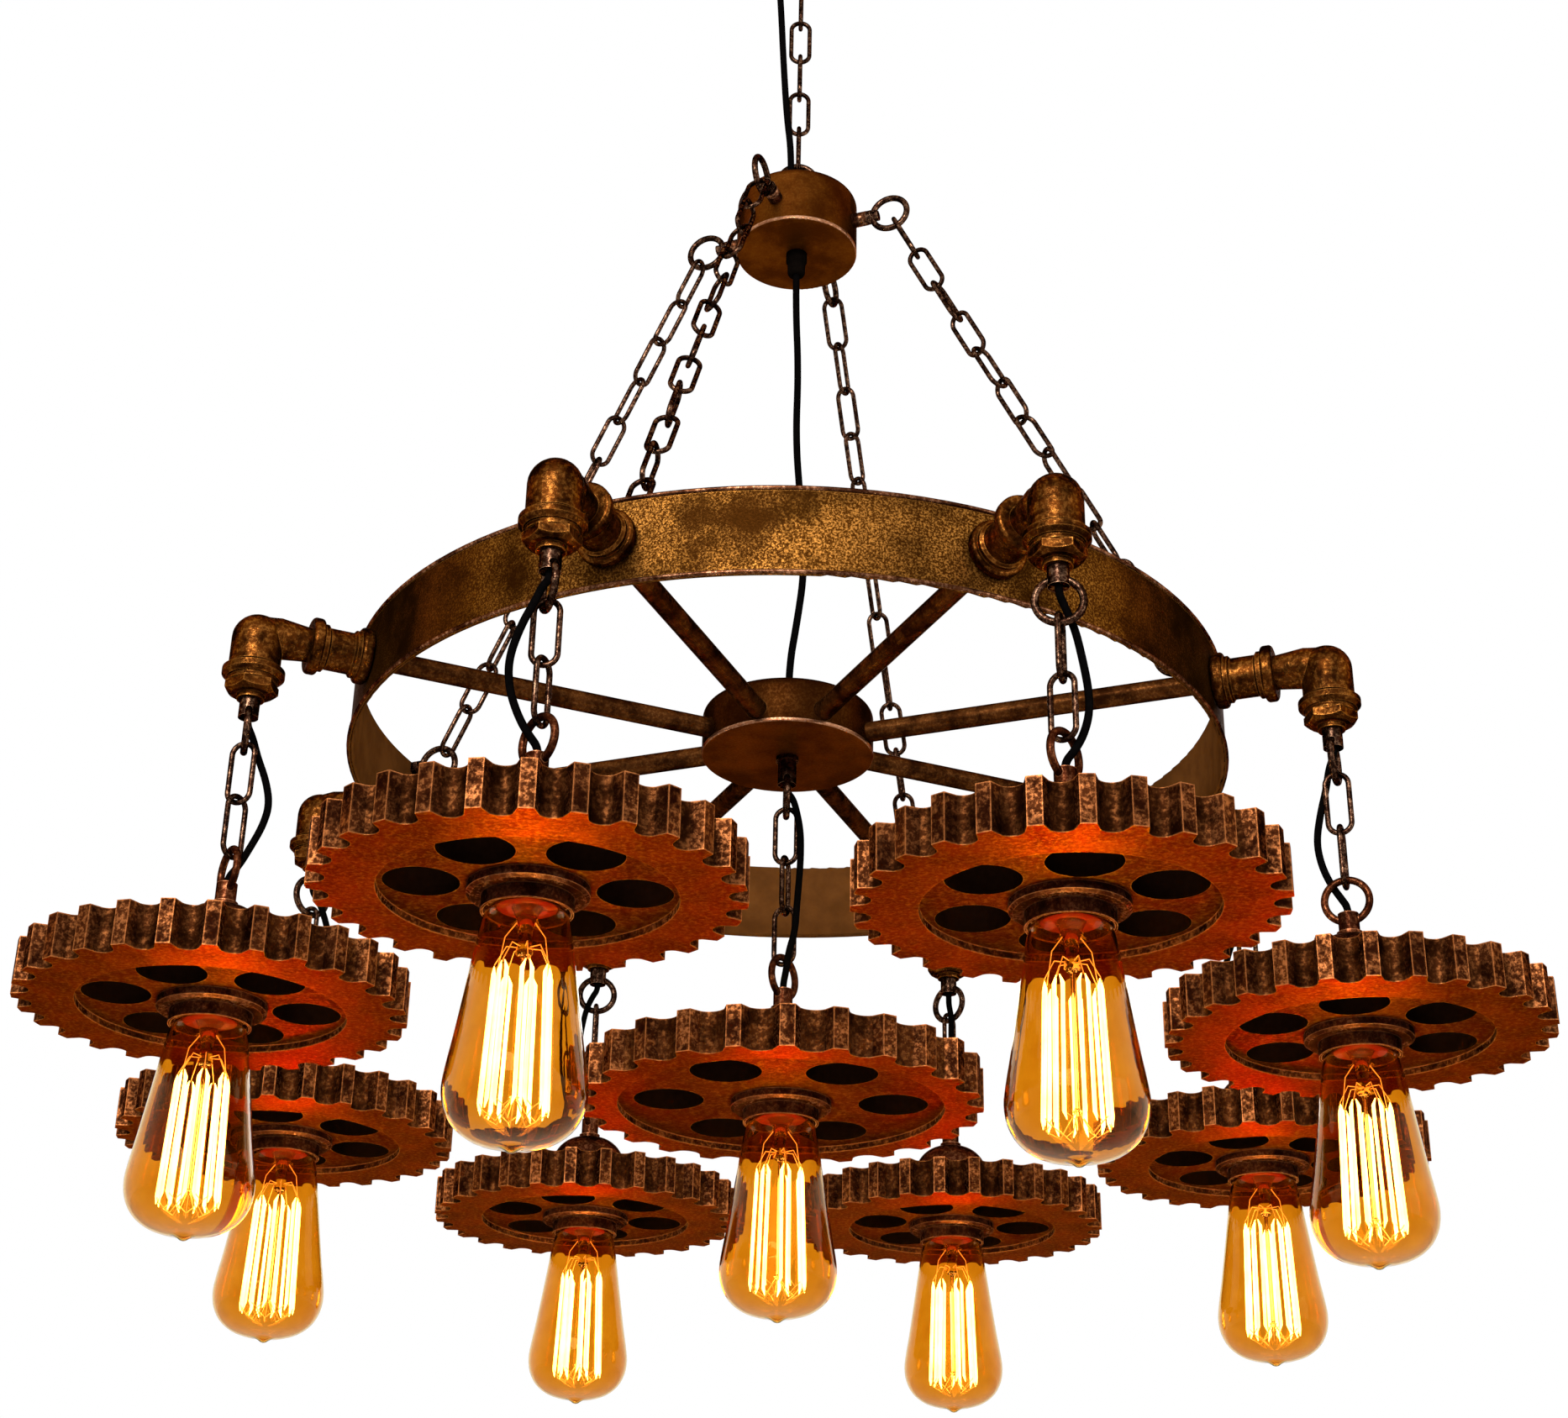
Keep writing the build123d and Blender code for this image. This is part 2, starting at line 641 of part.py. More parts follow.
def pendant(azimuth, radius, eye_z, links, turn, twist, gear_piece):
    """Chain, gear, lamp holder and bulb under one eye, each as a list of solids."""
    place = arm_place(azimuth, radius, eye_z)
    hung = place * Location((0, 0, 0), (0, 0, turn))
    foot = chain_span(links)
    lower_turn = 0 if links % 2 else 90
    first_normal = Vector(0, 1, 0).rotate(Axis.Z, twist)
    drop = chain(Vector(0, 0, 0), Vector(0, 0, -foot), links, first_normal, -twist)
    eye_turn = Location((0, 0, -foot), (0, 0, 90 + lower_turn + (links + 1) * twist))
    below = Location((0, 0, -foot))
    return {
        "drop_chain": [piece.moved(hung) for piece in drop],
        "lamp_holder": [piece.moved(eye_turn).moved(hung) for piece in HOLDER],
        "gear": [gear_piece.moved(Location((0, 0, -gear_top))).moved(below).moved(place)],
        "bulb": [piece.moved(below).moved(place) for piece in BULB],
    }


HOLDER = lamp_holder()
BULB = bulb()

nodes = {
    "ceiling_bracket": ceiling_bracket(),
    "canopy_loop": canopy_loop(),
}

# Canopy, with the grip that the cable comes out of
canopy_grip_seat = Location((-canopy_grip_offset, 0, -canopy_height), (180, 0, 0))
nodes["ceiling_canopy"] = ceiling_canopy()
nodes["canopy_grip"] = [grip().moved(canopy_grip_seat)]

# Chain between the canopy and the upper hub
nodes["main_chain"] = chain(Vector(0, 0, canopy_eye_z), Vector(0, 0, hub_eye_z), main_links,
                            Vector(0, 1, 0))

# Upper hub with its four side eyes and its top eye
upper_shell = hub_shell(upper_hub_radius, upper_hub_height - hub_wall, hub_wall)
nodes["upper_hub"] = [upper_shell.moved(Location((0, 0, hub_bottom_z + hub_wall))).solid()]
upper_cover_place = Location((0, 0, hub_bottom_z + hub_wall))
nodes["hub_covers"] = [hub_cover(upper_hub_radius, hub_wall).moved(upper_cover_place)]
hub_eye = side_eye(side_eye_reach, upper_hub_radius + seat_gap, 1, nut=False)
top_eye = eye_loop(hub_eye_rise, loop_stem_radius, (stem_collar_radius, hub_eye_rise - stem_collar_height,
                                                    hub_eye_rise)).rotate(Axis.X, 180)
nodes["upper_hub_eyebolts"] = [
    hub_eye.moved(arm_place(azimuth, 0, side_eye_z)) for azimuth in suspension_azimuths
]
nodes["upper_hub_eyebolts"].append(top_eye.moved(Location((0, 0, hub_eye_z))))

# Suspension chains down to the eyes on the inside of the band
ring_eye = side_eye(ring_eye_radius, ring_radius - ring_wall - seat_gap, -1, nut=True)
nodes["ring_eyebolts"] = [
    ring_eye.moved(arm_place(azimuth, 0, ring_eye_z)) for azimuth in suspension_azimuths
]
for number, azimuth in enumerate(suspension_azimuths, 1):
    upper = around(azimuth, side_eye_reach, side_eye_z)
    lower = around(azimuth, ring_eye_radius, ring_eye_z)
    run = (lower - upper).normalized()
    tangent = around(azimuth + 90, 1, 0)
    nodes[f"suspension_chain_{number}"] = chain(
        upper, lower, suspension_links, run.cross(tangent), 90 / (suspension_links - 1))

# Wheel
nodes["wheel_ring"] = wheel_ring()
nodes["wheel_spokes"] = [spoke().moved(arm_place(azimuth, 0, spoke_z)) for azimuth in arm_azimuths()]
wheel_shell = hub_shell(wheel_hub_radius, wheel_hub_height - hub_wall, hub_wall)
wheel_shell = wheel_shell.moved(Location((0, 0, wheel_hub_bottom_z + hub_wall)))
for azimuth in arm_azimuths():
    drill = Solid.make_cylinder(spoke_radius + seat_gap, 4 * hub_wall,
                                Plane(origin=(wheel_hub_radius - 3 * hub_wall, 0, 0), z_dir=(1, 0, 0)))
    wheel_shell -= drill.moved(arm_place(azimuth, 0, spoke_z))
nodes["wheel_hub"] = [wheel_shell.solid()]
nodes["hub_covers"].append(hub_cover(wheel_hub_radius, hub_wall).moved(
    Location((0, 0, wheel_hub_bottom_z + hub_wall))))

# Arms
coupling_piece = coupling()
elbow_piece = elbow()
bushing_piece = bushing()
nodes["arm_couplings"] = [
    coupling_piece.moved(arm_place(azimuth, 0, spoke_z)) for azimuth in arm_azimuths()
]
nodes["arm_elbows"] = [elbow_piece.moved(arm_place(azimuth, 0, spoke_z)) for azimuth in arm_azimuths()]
nodes["arm_bushings"] = [bushing_piece.moved(arm_place(azimuth, pendant_radius, elbow_bottom_z))
                         for azimuth in arm_azimuths()]

# Eyes that the pendants hang from
arm_loop = eye_loop(bushing_to_eye, loop_stem_radius).rotate(Axis.Z, 90)
centre_loop = eye_loop(hub_to_eye, loop_stem_radius, (stem_collar_radius, hub_to_eye - stem_collar_height,
                                                      hub_to_eye)).rotate(Axis.Z, 90)
nodes["pendant_loops"] = [
    arm_loop.moved(Location((0, 0, 0), (0, 0, turn))).moved(arm_place(azimuth, pendant_radius, arm_eye_z))
    for name, azimuth, hole_turn, turn, twist, side in pendants
]
nodes["pendant_loops"].append(centre_loop.moved(arm_place(90, 0, centre_eye_z)))

# Cable grips on the hubs
nodes["cable_grips"] = [
    grip(hub_grip_radius).moved(Location((*hub_grip_place, hub_top_z))),
    grip().moved(Location((0, 0, hub_bottom_z), (180, 0, 0))),
    grip().moved(Location((0, 0, wheel_hub_top_z))),
]

# Cable beside the main chain
cable_top = -canopy_height - grip_height
cable_end = hub_top_z + grip_height
cable_run = cable_top - cable_end
nodes["upper_cable"] = [cord_tube("upper_cable", [
    (-canopy_grip_offset, 0, cable_top),
    (-canopy_grip_offset, 0, cable_top - cable_run * 0.12),
    (-14.0, -2.5, cable_top - cable_run * 0.32),
    (-11.5, -5.5, cable_top - cable_run * 0.54),
    (-8.5, -9.5, cable_top - cable_run * 0.76),
    (*hub_grip_place, cable_top - cable_run * 0.9),
    (*hub_grip_place, cable_end),
], cable_diameter)]

# Cable from the upper hub to the wheel hub
lower_start = hub_bottom_z - grip_height
lower_end = wheel_hub_top_z + grip_height
lower_run = lower_start - lower_end
nodes["lower_cable"] = [cord_tube("lower_cable", [
    (0, 0, lower_start),
    (0, 0, lower_start - lower_run * 0.1),
    (2.5, -1.0, lower_start - lower_run * 0.26),
    (1.5, -2.5, lower_start - lower_run * 0.43),
    (5.5, -2.0, lower_start - lower_run * 0.58),
    (8.5, 0.5, lower_start - lower_run * 0.72),
    (4.5, 2.0, lower_start - lower_run * 0.83),
    (0, 0, lower_start - lower_run * 0.93),
    (0, 0, lower_end),
], cable_diameter)]

# Pendants, each with its drop cord
cords = []
for name, azimuth, hole_turn, turn, twist, side in pendants:
    outer_gear = gear(outer_gear_radius, outer_gear_teeth, outer_tip_land, outer_recess_radius,
                      outer_hole_radius, outer_hole_circle, hole_turn - azimuth + 90)
    hung = pendant(azimuth, pendant_radius, arm_eye_z, drop_links, turn, twist, outer_gear)
    for kind, pieces in hung.items():
        nodes[f"{kind}_{name}"] = pieces
    cord = cord_tube(f"{name} drop cord", drop_cord(drop_links, side, twist), drop_cord_diameter)
    turned_cord = cord.moved(Location((0, 0, 0), (0, 0, turn)))
    cords.append(turned_cord.moved(arm_place(azimuth, pendant_radius, arm_eye_z)))
centre_gear = gear(centre_gear_radius, centre_gear_teeth, centre_tip_land, centre_recess_radius,
                   centre_hole_radius, centre_hole_circle, centre_hole_turn)
hung = pendant(90, 0, centre_eye_z, centre_drop_links, 0, centre_twist, centre_gear)
for kind, pieces in hung.items():
    nodes[f"{kind}_centre"] = pieces
centre_route = drop_cord(centre_drop_links, 1, centre_twist)
centre_cord = cord_tube("centre drop cord", centre_route, drop_cord_diameter)
cords.append(centre_cord.moved(arm_place(-90, 0, centre_eye_z)))
nodes["drop_cords"] = cords

os.makedirs("parts", exist_ok=True)
for node, pieces in nodes.items():
    export_step(Compound(children=pieces), f"parts/{node}.step")
print(len(nodes), "nodes,", sum(len(pieces) for pieces in nodes.values()), "solids")
print("joint heights", canopy_eye_z - eye_radius, arm_eye_z - eye_radius, centre_eye_z - eye_radius)
print("eyes", canopy_eye_z, hub_eye_z, side_eye_z, ring_eye_z, arm_eye_z, centre_eye_z)
print("hub", hub_top_z, hub_bottom_z, "ring top", ring_top_z,
      "wheel hub", wheel_hub_top_z, wheel_hub_bottom_z)
print("spans", chain_span(drop_links), chain_span(centre_drop_links))
print("pendant radius", pendant_radius)
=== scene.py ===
"""The gear chandelier's finish: bronze and gold paint, lit amber bulbs, cables, light and camera.

Metres, in the frame of the CAD model: +Z up, the ceiling face at z = 0, the front pendants at -Y.
Names that end in MM hold millimetres.
"""

import json
import math

import bmesh
import bpy
from mathutils import Matrix, Vector
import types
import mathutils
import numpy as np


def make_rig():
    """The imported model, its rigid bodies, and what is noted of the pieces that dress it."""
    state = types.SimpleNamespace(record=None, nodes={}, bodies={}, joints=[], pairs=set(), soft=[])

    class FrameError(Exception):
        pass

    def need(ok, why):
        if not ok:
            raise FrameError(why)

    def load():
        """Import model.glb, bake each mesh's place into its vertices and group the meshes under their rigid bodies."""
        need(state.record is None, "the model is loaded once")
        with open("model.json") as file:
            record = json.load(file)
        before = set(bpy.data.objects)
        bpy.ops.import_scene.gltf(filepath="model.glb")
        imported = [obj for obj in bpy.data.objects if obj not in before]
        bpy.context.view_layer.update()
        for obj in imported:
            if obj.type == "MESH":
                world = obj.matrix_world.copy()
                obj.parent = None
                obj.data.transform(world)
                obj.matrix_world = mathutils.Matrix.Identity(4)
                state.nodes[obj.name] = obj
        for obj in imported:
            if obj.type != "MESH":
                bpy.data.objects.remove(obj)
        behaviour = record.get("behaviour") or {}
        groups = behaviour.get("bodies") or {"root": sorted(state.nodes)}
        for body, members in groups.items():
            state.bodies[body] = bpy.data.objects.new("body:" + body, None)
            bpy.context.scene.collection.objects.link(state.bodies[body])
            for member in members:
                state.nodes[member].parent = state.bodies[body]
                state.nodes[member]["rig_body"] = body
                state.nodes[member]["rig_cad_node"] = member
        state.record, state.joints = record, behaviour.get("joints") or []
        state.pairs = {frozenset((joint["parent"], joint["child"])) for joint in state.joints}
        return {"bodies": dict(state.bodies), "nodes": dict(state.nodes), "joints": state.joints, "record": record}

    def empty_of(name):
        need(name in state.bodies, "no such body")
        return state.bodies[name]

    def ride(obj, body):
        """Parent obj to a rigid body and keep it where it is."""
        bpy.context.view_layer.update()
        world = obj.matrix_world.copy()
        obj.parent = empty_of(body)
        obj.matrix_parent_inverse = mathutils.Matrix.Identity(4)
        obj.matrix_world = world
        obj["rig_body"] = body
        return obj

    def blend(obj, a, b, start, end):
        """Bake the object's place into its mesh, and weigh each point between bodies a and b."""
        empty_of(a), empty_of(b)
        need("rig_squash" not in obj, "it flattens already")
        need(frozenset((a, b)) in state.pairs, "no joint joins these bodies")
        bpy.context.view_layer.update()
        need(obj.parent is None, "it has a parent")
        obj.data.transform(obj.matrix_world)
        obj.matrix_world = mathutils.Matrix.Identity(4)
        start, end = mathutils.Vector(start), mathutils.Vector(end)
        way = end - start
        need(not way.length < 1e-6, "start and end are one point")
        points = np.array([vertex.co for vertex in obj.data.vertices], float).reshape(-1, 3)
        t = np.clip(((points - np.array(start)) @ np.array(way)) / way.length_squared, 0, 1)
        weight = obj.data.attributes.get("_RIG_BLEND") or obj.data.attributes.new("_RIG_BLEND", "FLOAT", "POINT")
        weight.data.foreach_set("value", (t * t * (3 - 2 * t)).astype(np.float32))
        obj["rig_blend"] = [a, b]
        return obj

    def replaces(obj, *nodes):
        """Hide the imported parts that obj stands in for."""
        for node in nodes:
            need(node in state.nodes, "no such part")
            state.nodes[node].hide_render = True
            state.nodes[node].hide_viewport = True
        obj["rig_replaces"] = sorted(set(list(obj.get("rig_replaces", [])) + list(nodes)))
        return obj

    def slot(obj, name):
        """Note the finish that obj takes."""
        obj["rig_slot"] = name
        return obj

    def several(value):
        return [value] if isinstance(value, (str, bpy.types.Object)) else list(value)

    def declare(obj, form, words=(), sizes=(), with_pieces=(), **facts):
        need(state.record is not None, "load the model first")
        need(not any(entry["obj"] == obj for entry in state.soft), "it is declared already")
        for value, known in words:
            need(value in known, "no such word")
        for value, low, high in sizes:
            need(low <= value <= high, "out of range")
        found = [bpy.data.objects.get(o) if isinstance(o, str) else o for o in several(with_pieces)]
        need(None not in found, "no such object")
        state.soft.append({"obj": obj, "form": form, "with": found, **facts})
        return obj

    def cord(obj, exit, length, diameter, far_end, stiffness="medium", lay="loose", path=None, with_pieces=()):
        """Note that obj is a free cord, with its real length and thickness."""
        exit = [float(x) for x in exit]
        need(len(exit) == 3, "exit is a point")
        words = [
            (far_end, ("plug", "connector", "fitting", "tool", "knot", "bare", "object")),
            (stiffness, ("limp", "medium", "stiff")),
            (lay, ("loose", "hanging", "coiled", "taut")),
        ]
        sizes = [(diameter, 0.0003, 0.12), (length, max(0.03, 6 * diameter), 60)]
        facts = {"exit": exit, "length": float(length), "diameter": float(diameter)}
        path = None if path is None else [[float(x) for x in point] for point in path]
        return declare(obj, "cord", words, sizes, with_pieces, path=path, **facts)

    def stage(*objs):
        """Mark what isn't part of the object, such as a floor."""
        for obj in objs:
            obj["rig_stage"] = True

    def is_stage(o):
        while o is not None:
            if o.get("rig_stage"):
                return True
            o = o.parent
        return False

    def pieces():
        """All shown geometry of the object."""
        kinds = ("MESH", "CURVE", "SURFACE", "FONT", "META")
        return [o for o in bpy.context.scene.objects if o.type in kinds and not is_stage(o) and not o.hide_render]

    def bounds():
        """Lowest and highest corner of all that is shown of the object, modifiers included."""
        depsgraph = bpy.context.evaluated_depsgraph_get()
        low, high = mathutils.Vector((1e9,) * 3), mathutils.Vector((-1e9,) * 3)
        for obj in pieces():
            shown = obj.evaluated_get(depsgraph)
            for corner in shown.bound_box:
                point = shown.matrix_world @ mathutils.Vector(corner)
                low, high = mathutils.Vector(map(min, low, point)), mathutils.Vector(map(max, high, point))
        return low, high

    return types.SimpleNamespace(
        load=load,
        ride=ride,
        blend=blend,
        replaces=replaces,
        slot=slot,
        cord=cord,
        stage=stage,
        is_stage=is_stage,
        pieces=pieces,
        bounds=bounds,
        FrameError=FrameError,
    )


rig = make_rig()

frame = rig.load()
cad_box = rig.bounds()
nodes = frame["nodes"]

MM = 0.001

# The image and the camera that took it
IMAGE_WIDTH = 1866
FOCAL_PIXELS = 2924.4
SENSOR_MM = 36.0
CAMERA_REACH = 60
CAMERA_PLACE = (-0.0304, -1.3254, -1.2944)
CAMERA_RIGHT = Vector((0.99942, -0.02932, 0.01727))
CAMERA_FORWARD = Vector((0.01889, 0.89937, 0.43677))

# Lamps in the bulbs, each at a drop below its lamp holder's eye
GLOW_WATTS = 0.60
GLOW_COLOUR = (1.0, 0.92, 0.34)
GLOW_RADIUS = 0.022
GLOW_DROP = 0.142

# Soft lamps: name, place, the point that it is turned to, width and height, watts
SOFT_BOXES = [
    ("key", (-0.7, -2.6, 0.1), (0, 0, -0.75), (1.3, 1.0), 60),
    ("fill", (2.0, -1.4, -0.6), (0, 0, -0.75), (1.4, 1.4), 10),
    ("rim", (0.3, 2.2, 0.3), (0, 0, -0.6), (1.8, 0.8), 9),
]

# Light of the surroundings: on the object, and as the eye sees them behind it
WORLD_LIGHT = 0.32
BACKDROP_LIGHT = 1.0
FLOOR_GLOW = 0.35
FLOOR_HALF = 9.0
FLOOR_LEVEL = -2.4

# Eyes that the pendants hang from, as heights from the ceiling, and spans down to the lamp holders' eyes
ARM_EYE_MM = -731.987
CENTRE_EYE_MM = -708.287
PENDANT_RADIUS_MM = 318.6
ARM_SPAN_MM = 81.4
CENTRE_SPAN_MM = 112.5
ARM_LINKS = 2
CENTRE_LINKS = 3

# Pendant, azimuth from the front, turn of its chain, twist at each joint of the chain, side of the cord
PENDANTS = [
    ("front_right", 22.5, -31.0, -11.0, 1),
    ("front_left", -22.5, 131.5, -22.0, -1),
    ("right", 67.5, 0.0, 0.0, 1),
    ("left", -67.5, -10.0, -24.0, -1),
    ("back_right", 112.5, 0.0, 0.0, 1),
    ("back_left", -112.5, -20.0, 10.0, -1),
    ("rear_right", 157.5, -21.0, 8.0, -1),
    ("rear_left", -157.5, -19.0, -6.0, 1),
]
CENTRE_TWIST = -9.0


def around(azimuth, radius, height):
    """Point in metres at an azimuth from the front, from a radius and a height in millimetres."""
    turn = math.radians(azimuth)
    return Vector((radius * math.sin(turn), -radius * math.cos(turn), height)) * MM


def below(origin, depth):
    """Point at a depth in millimetres below a point in metres."""
    return origin + Vector((0, 0, -depth * MM))


# Agreement of a bevelled normal with the true one, on an open face and on a sharp edge
OPEN_FACE = 0.985
SHARP_EDGE = 0.80
BEVEL_SAMPLES = 6

# Reflections at grazing angles: of the aged metal and of the gears' rusty faces
METAL_EDGE_TINT = (0.20, 0.085, 0.03)
RUST_EDGE_TINT = (0.42, 0.24, 0.06)

# Painted shade on the ring: gold that is left at its sides, as a share of its front, so that the front looks lit and
# the sides in shade
SHADED_SIDE_GOLD = 0.14

# Rusty faces: features per metre, rubbed edges and how metallic they are
RUST_PATCHES = 45.0
RUST_GRAIN = 420.0
RUST_EDGE_RADIUS = 0.0010
RUBBED_EDGE = (0.55, 0.20, 0.03)
RUST_METALLIC = 0.85

# Depth of each finish's relief in metres, and the darker tone of an even material as a share of its colour
METAL_RELIEF_DEPTH = 0.0004
RUST_RELIEF_DEPTH = 0.0006
PLAIN_RELIEF_DEPTH = 0.0002
PLAIN_DARKER = 0.7


def new_material(name):
    """Empty node material with its shader: (material, nodes, links, shader)."""
    material = bpy.data.materials.new(name)
    material.use_nodes = True
    tree = material.node_tree
    tree.nodes.clear()
    output = tree.nodes.new("ShaderNodeOutputMaterial")
    shader = tree.nodes.new("ShaderNodeBsdfPrincipled")
    tree.links.new(shader.outputs[0], output.inputs[0])
    return material, tree.nodes, tree.links, shader


def noise(tree_nodes, links, coordinates, scale, detail=4.0, roughness=0.6):
    """Noise over the object's own space, at scale features per metre."""
    node = tree_nodes.new("ShaderNodeTexNoise")
    node.inputs["Scale"].default_value = scale
    node.inputs["Detail"].default_value = detail
    node.inputs["Roughness"].default_value = roughness
    links.new(coordinates.outputs["Object"], node.inputs["Vector"])
    return node.outputs["Fac"]


def ramp(tree_nodes, links, value, low, high, start=0.0, end=1.0):
    """Value mapped smoothly from low..high to start..end."""
    node = tree_nodes.new("ShaderNodeMapRange")
    node.interpolation_type = "SMOOTHSTEP"
    node.inputs["From Min"].default_value = low
    node.inputs["From Max"].default_value = high
    node.inputs["To Min"].default_value = start
    node.inputs["To Max"].default_value = end
    links.new(value, node.inputs["Value"])
    return node.outputs["Result"]


def mixed(tree_nodes, links, factor, first, second):
    """Colour between first and second, each a colour or a socket."""
    node = tree_nodes.new("ShaderNodeMix")
    node.data_type = "RGBA"
    links.new(factor, node.inputs["Factor"])
    for socket, value in ((node.inputs[6], first), (node.inputs[7], second)):
        if isinstance(value, tuple):
            socket.default_value = (*value, 1.0)
        else:
            links.new(value, socket)
    return node.outputs[2]


def maths(tree_nodes, links, operation, *values, clamp=False):
    """One arithmetic step on sockets or numbers."""
    node = tree_nodes.new("ShaderNodeMath")
    node.operation = operation
    node.use_clamp = clamp
    for socket, value in zip(node.inputs, values):
        if isinstance(value, (int, float)):
            socket.default_value = value
        else:
            links.new(value, socket)
    return node.outputs[0]


def edge_mask(tree_nodes, links, radius):
    """1 on edges sharper than about the radius, 0 on open faces."""
    bevel = tree_nodes.new("ShaderNodeBevel")
    bevel.samples = BEVEL_SAMPLES
    bevel.inputs["Radius"].default_value = radius
    geometry = tree_nodes.new("ShaderNodeNewGeometry")
    dot = tree_nodes.new("ShaderNodeVectorMath")
    dot.operation = "DOT_PRODUCT"
    links.new(bevel.outputs[0], dot.inputs[0])
    links.new(geometry.outputs["Normal"], dot.inputs[1])
    return ramp(tree_nodes, links, dot.outputs["Value"], OPEN_FACE, SHARP_EDGE)


def bump(tree_nodes, links, shader, height, strength, distance):
    """Surface relief from a height value."""
    node = tree_nodes.new("ShaderNodeBump")
    node.inputs["Strength"].default_value = strength
    node.inputs["Distance"].default_value = distance
    links.new(height, node.inputs["Height"])
    links.new(node.outputs[0], shader.inputs["Normal"])


def aged_metal(name, dark, middle, gold, gold_amount, patch, grain, edge_radius=0.0012, edge_gain=1.0,
               metallic=0.75, rough=(0.38, 0.62), relief=0.35, shaded_sides=None):
    """Dark bronze paint with a dry brushed gold: patches, fine grain and rubbed edges.

    The shaded sides are a pair of distances from the middle in metres, between which the brushed gold fades as painted
    shade, the sides darker than a lit front.
    """
    material, tree_nodes, links, shader = new_material(name)
    place = tree_nodes.new("ShaderNodeTexCoord")
    patches = noise(tree_nodes, links, place, patch, detail=5.0, roughness=0.65)
    fine = noise(tree_nodes, links, place, grain, detail=3.0, roughness=0.7)
    body = mixed(tree_nodes, links, ramp(tree_nodes, links, patches, 0.36, 0.64), dark, middle)
    speckle = maths(tree_nodes, links, "MULTIPLY",
                    ramp(tree_nodes, links, fine, 0.44, 0.66),
                    ramp(tree_nodes, links, patches, 0.30, 0.68))
    brushed = maths(tree_nodes, links, "MULTIPLY", speckle, gold_amount)
    # Painted shade: the brushed gold fades with the distance from the middle along x, so the sides look shaded
    if shaded_sides:
        axes = tree_nodes.new("ShaderNodeSeparateXYZ")
        links.new(place.outputs["Object"], axes.inputs[0])
        outwards = maths(tree_nodes, links, "ABSOLUTE", axes.outputs["X"])
        brushed = maths(tree_nodes, links, "MULTIPLY", brushed,
                        ramp(tree_nodes, links, outwards, *shaded_sides, 1.0, SHADED_SIDE_GOLD))
    # Rubbed edges: wear, which on the chains and the gears' teeth is also made bright as a painted highlight
    edges = maths(tree_nodes, links, "MULTIPLY", edge_mask(tree_nodes, links, edge_radius), edge_gain)
    worn = maths(tree_nodes, links, "MULTIPLY", edges,
                 ramp(tree_nodes, links, fine, 0.30, 0.60, 0.35, 1.0))
    cover = maths(tree_nodes, links, "MAXIMUM", brushed, worn, clamp=True)
    links.new(mixed(tree_nodes, links, cover, body, gold), shader.inputs["Base Color"])
    shader.inputs["Metallic"].default_value = metallic
    shader.inputs["Specular IOR Level"].default_value = 0.0
    shader.inputs["Specular Tint"].default_value = (*METAL_EDGE_TINT, 1.0)
    links.new(ramp(tree_nodes, links, fine, 0.35, 0.70, rough[1], rough[0]), shader.inputs["Roughness"])
    bump(tree_nodes, links, shader, fine, relief, METAL_RELIEF_DEPTH)
    return material


def rusty_face(name, dark, middle, rubbed):
    """Orange rust paint of a gear's faces, brighter where the grain is rubbed."""
    material, tree_nodes, links, shader = new_material(name)
    place = tree_nodes.new("ShaderNodeTexCoord")
    patches = noise(tree_nodes, links, place, RUST_PATCHES, detail=5.0, roughness=0.65)
    fine = noise(tree_nodes, links, place, RUST_GRAIN, detail=4.0, roughness=0.75)
    body = mixed(tree_nodes, links, ramp(tree_nodes, links, patches, 0.32, 0.68), dark, middle)
    body = mixed(tree_nodes, links, ramp(tree_nodes, links, fine, 0.44, 0.72, 0.0, 0.50), body, rubbed)
    edges = edge_mask(tree_nodes, links, RUST_EDGE_RADIUS)
    worn = maths(tree_nodes, links, "MULTIPLY", edges,
                 ramp(tree_nodes, links, fine, 0.35, 0.60, 0.2, 0.8), clamp=True)
    links.new(mixed(tree_nodes, links, worn, body, RUBBED_EDGE), shader.inputs["Base Color"])
    shader.inputs["Metallic"].default_value = RUST_METALLIC
    shader.inputs["Specular IOR Level"].default_value = 0.0
    shader.inputs["Specular Tint"].default_value = (*RUST_EDGE_TINT, 1.0)
    links.new(ramp(tree_nodes, links, fine, 0.35, 0.70, 0.46, 0.34), shader.inputs["Roughness"])
    bump(tree_nodes, links, shader, fine, 0.5, RUST_RELIEF_DEPTH)
    return material


def plain(name, colour, roughness, metallic=0.0, gloss=0.5, grain=300.0, relief=0.15):
    """Even material with a little variation in tone and relief."""
    material, tree_nodes, links, shader = new_material(name)
    place = tree_nodes.new("ShaderNodeTexCoord")
    fine = noise(tree_nodes, links, place, grain)
    darker = tuple(channel * PLAIN_DARKER for channel in colour)
    links.new(mixed(tree_nodes, links, ramp(tree_nodes, links, fine, 0.3, 0.7), darker, colour),
              shader.inputs["Base Color"])
    shader.inputs["Metallic"].default_value = metallic
    shader.inputs["Specular IOR Level"].default_value = gloss
    shader.inputs["Roughness"].default_value = roughness
    bump(tree_nodes, links, shader, fine, relief, PLAIN_RELIEF_DEPTH)
    return material


def seen_ray(tree_nodes, links):
    """1 for camera, glossy and transmission rays, 0 for the rays that light the object."""
    path = tree_nodes.new("ShaderNodeLightPath")
    seen = maths(tree_nodes, links, "MAXIMUM",
                 path.outputs["Is Camera Ray"], path.outputs["Is Transmission Ray"])
    return maths(tree_nodes, links, "MAXIMUM", seen, path.outputs["Is Glossy Ray"])


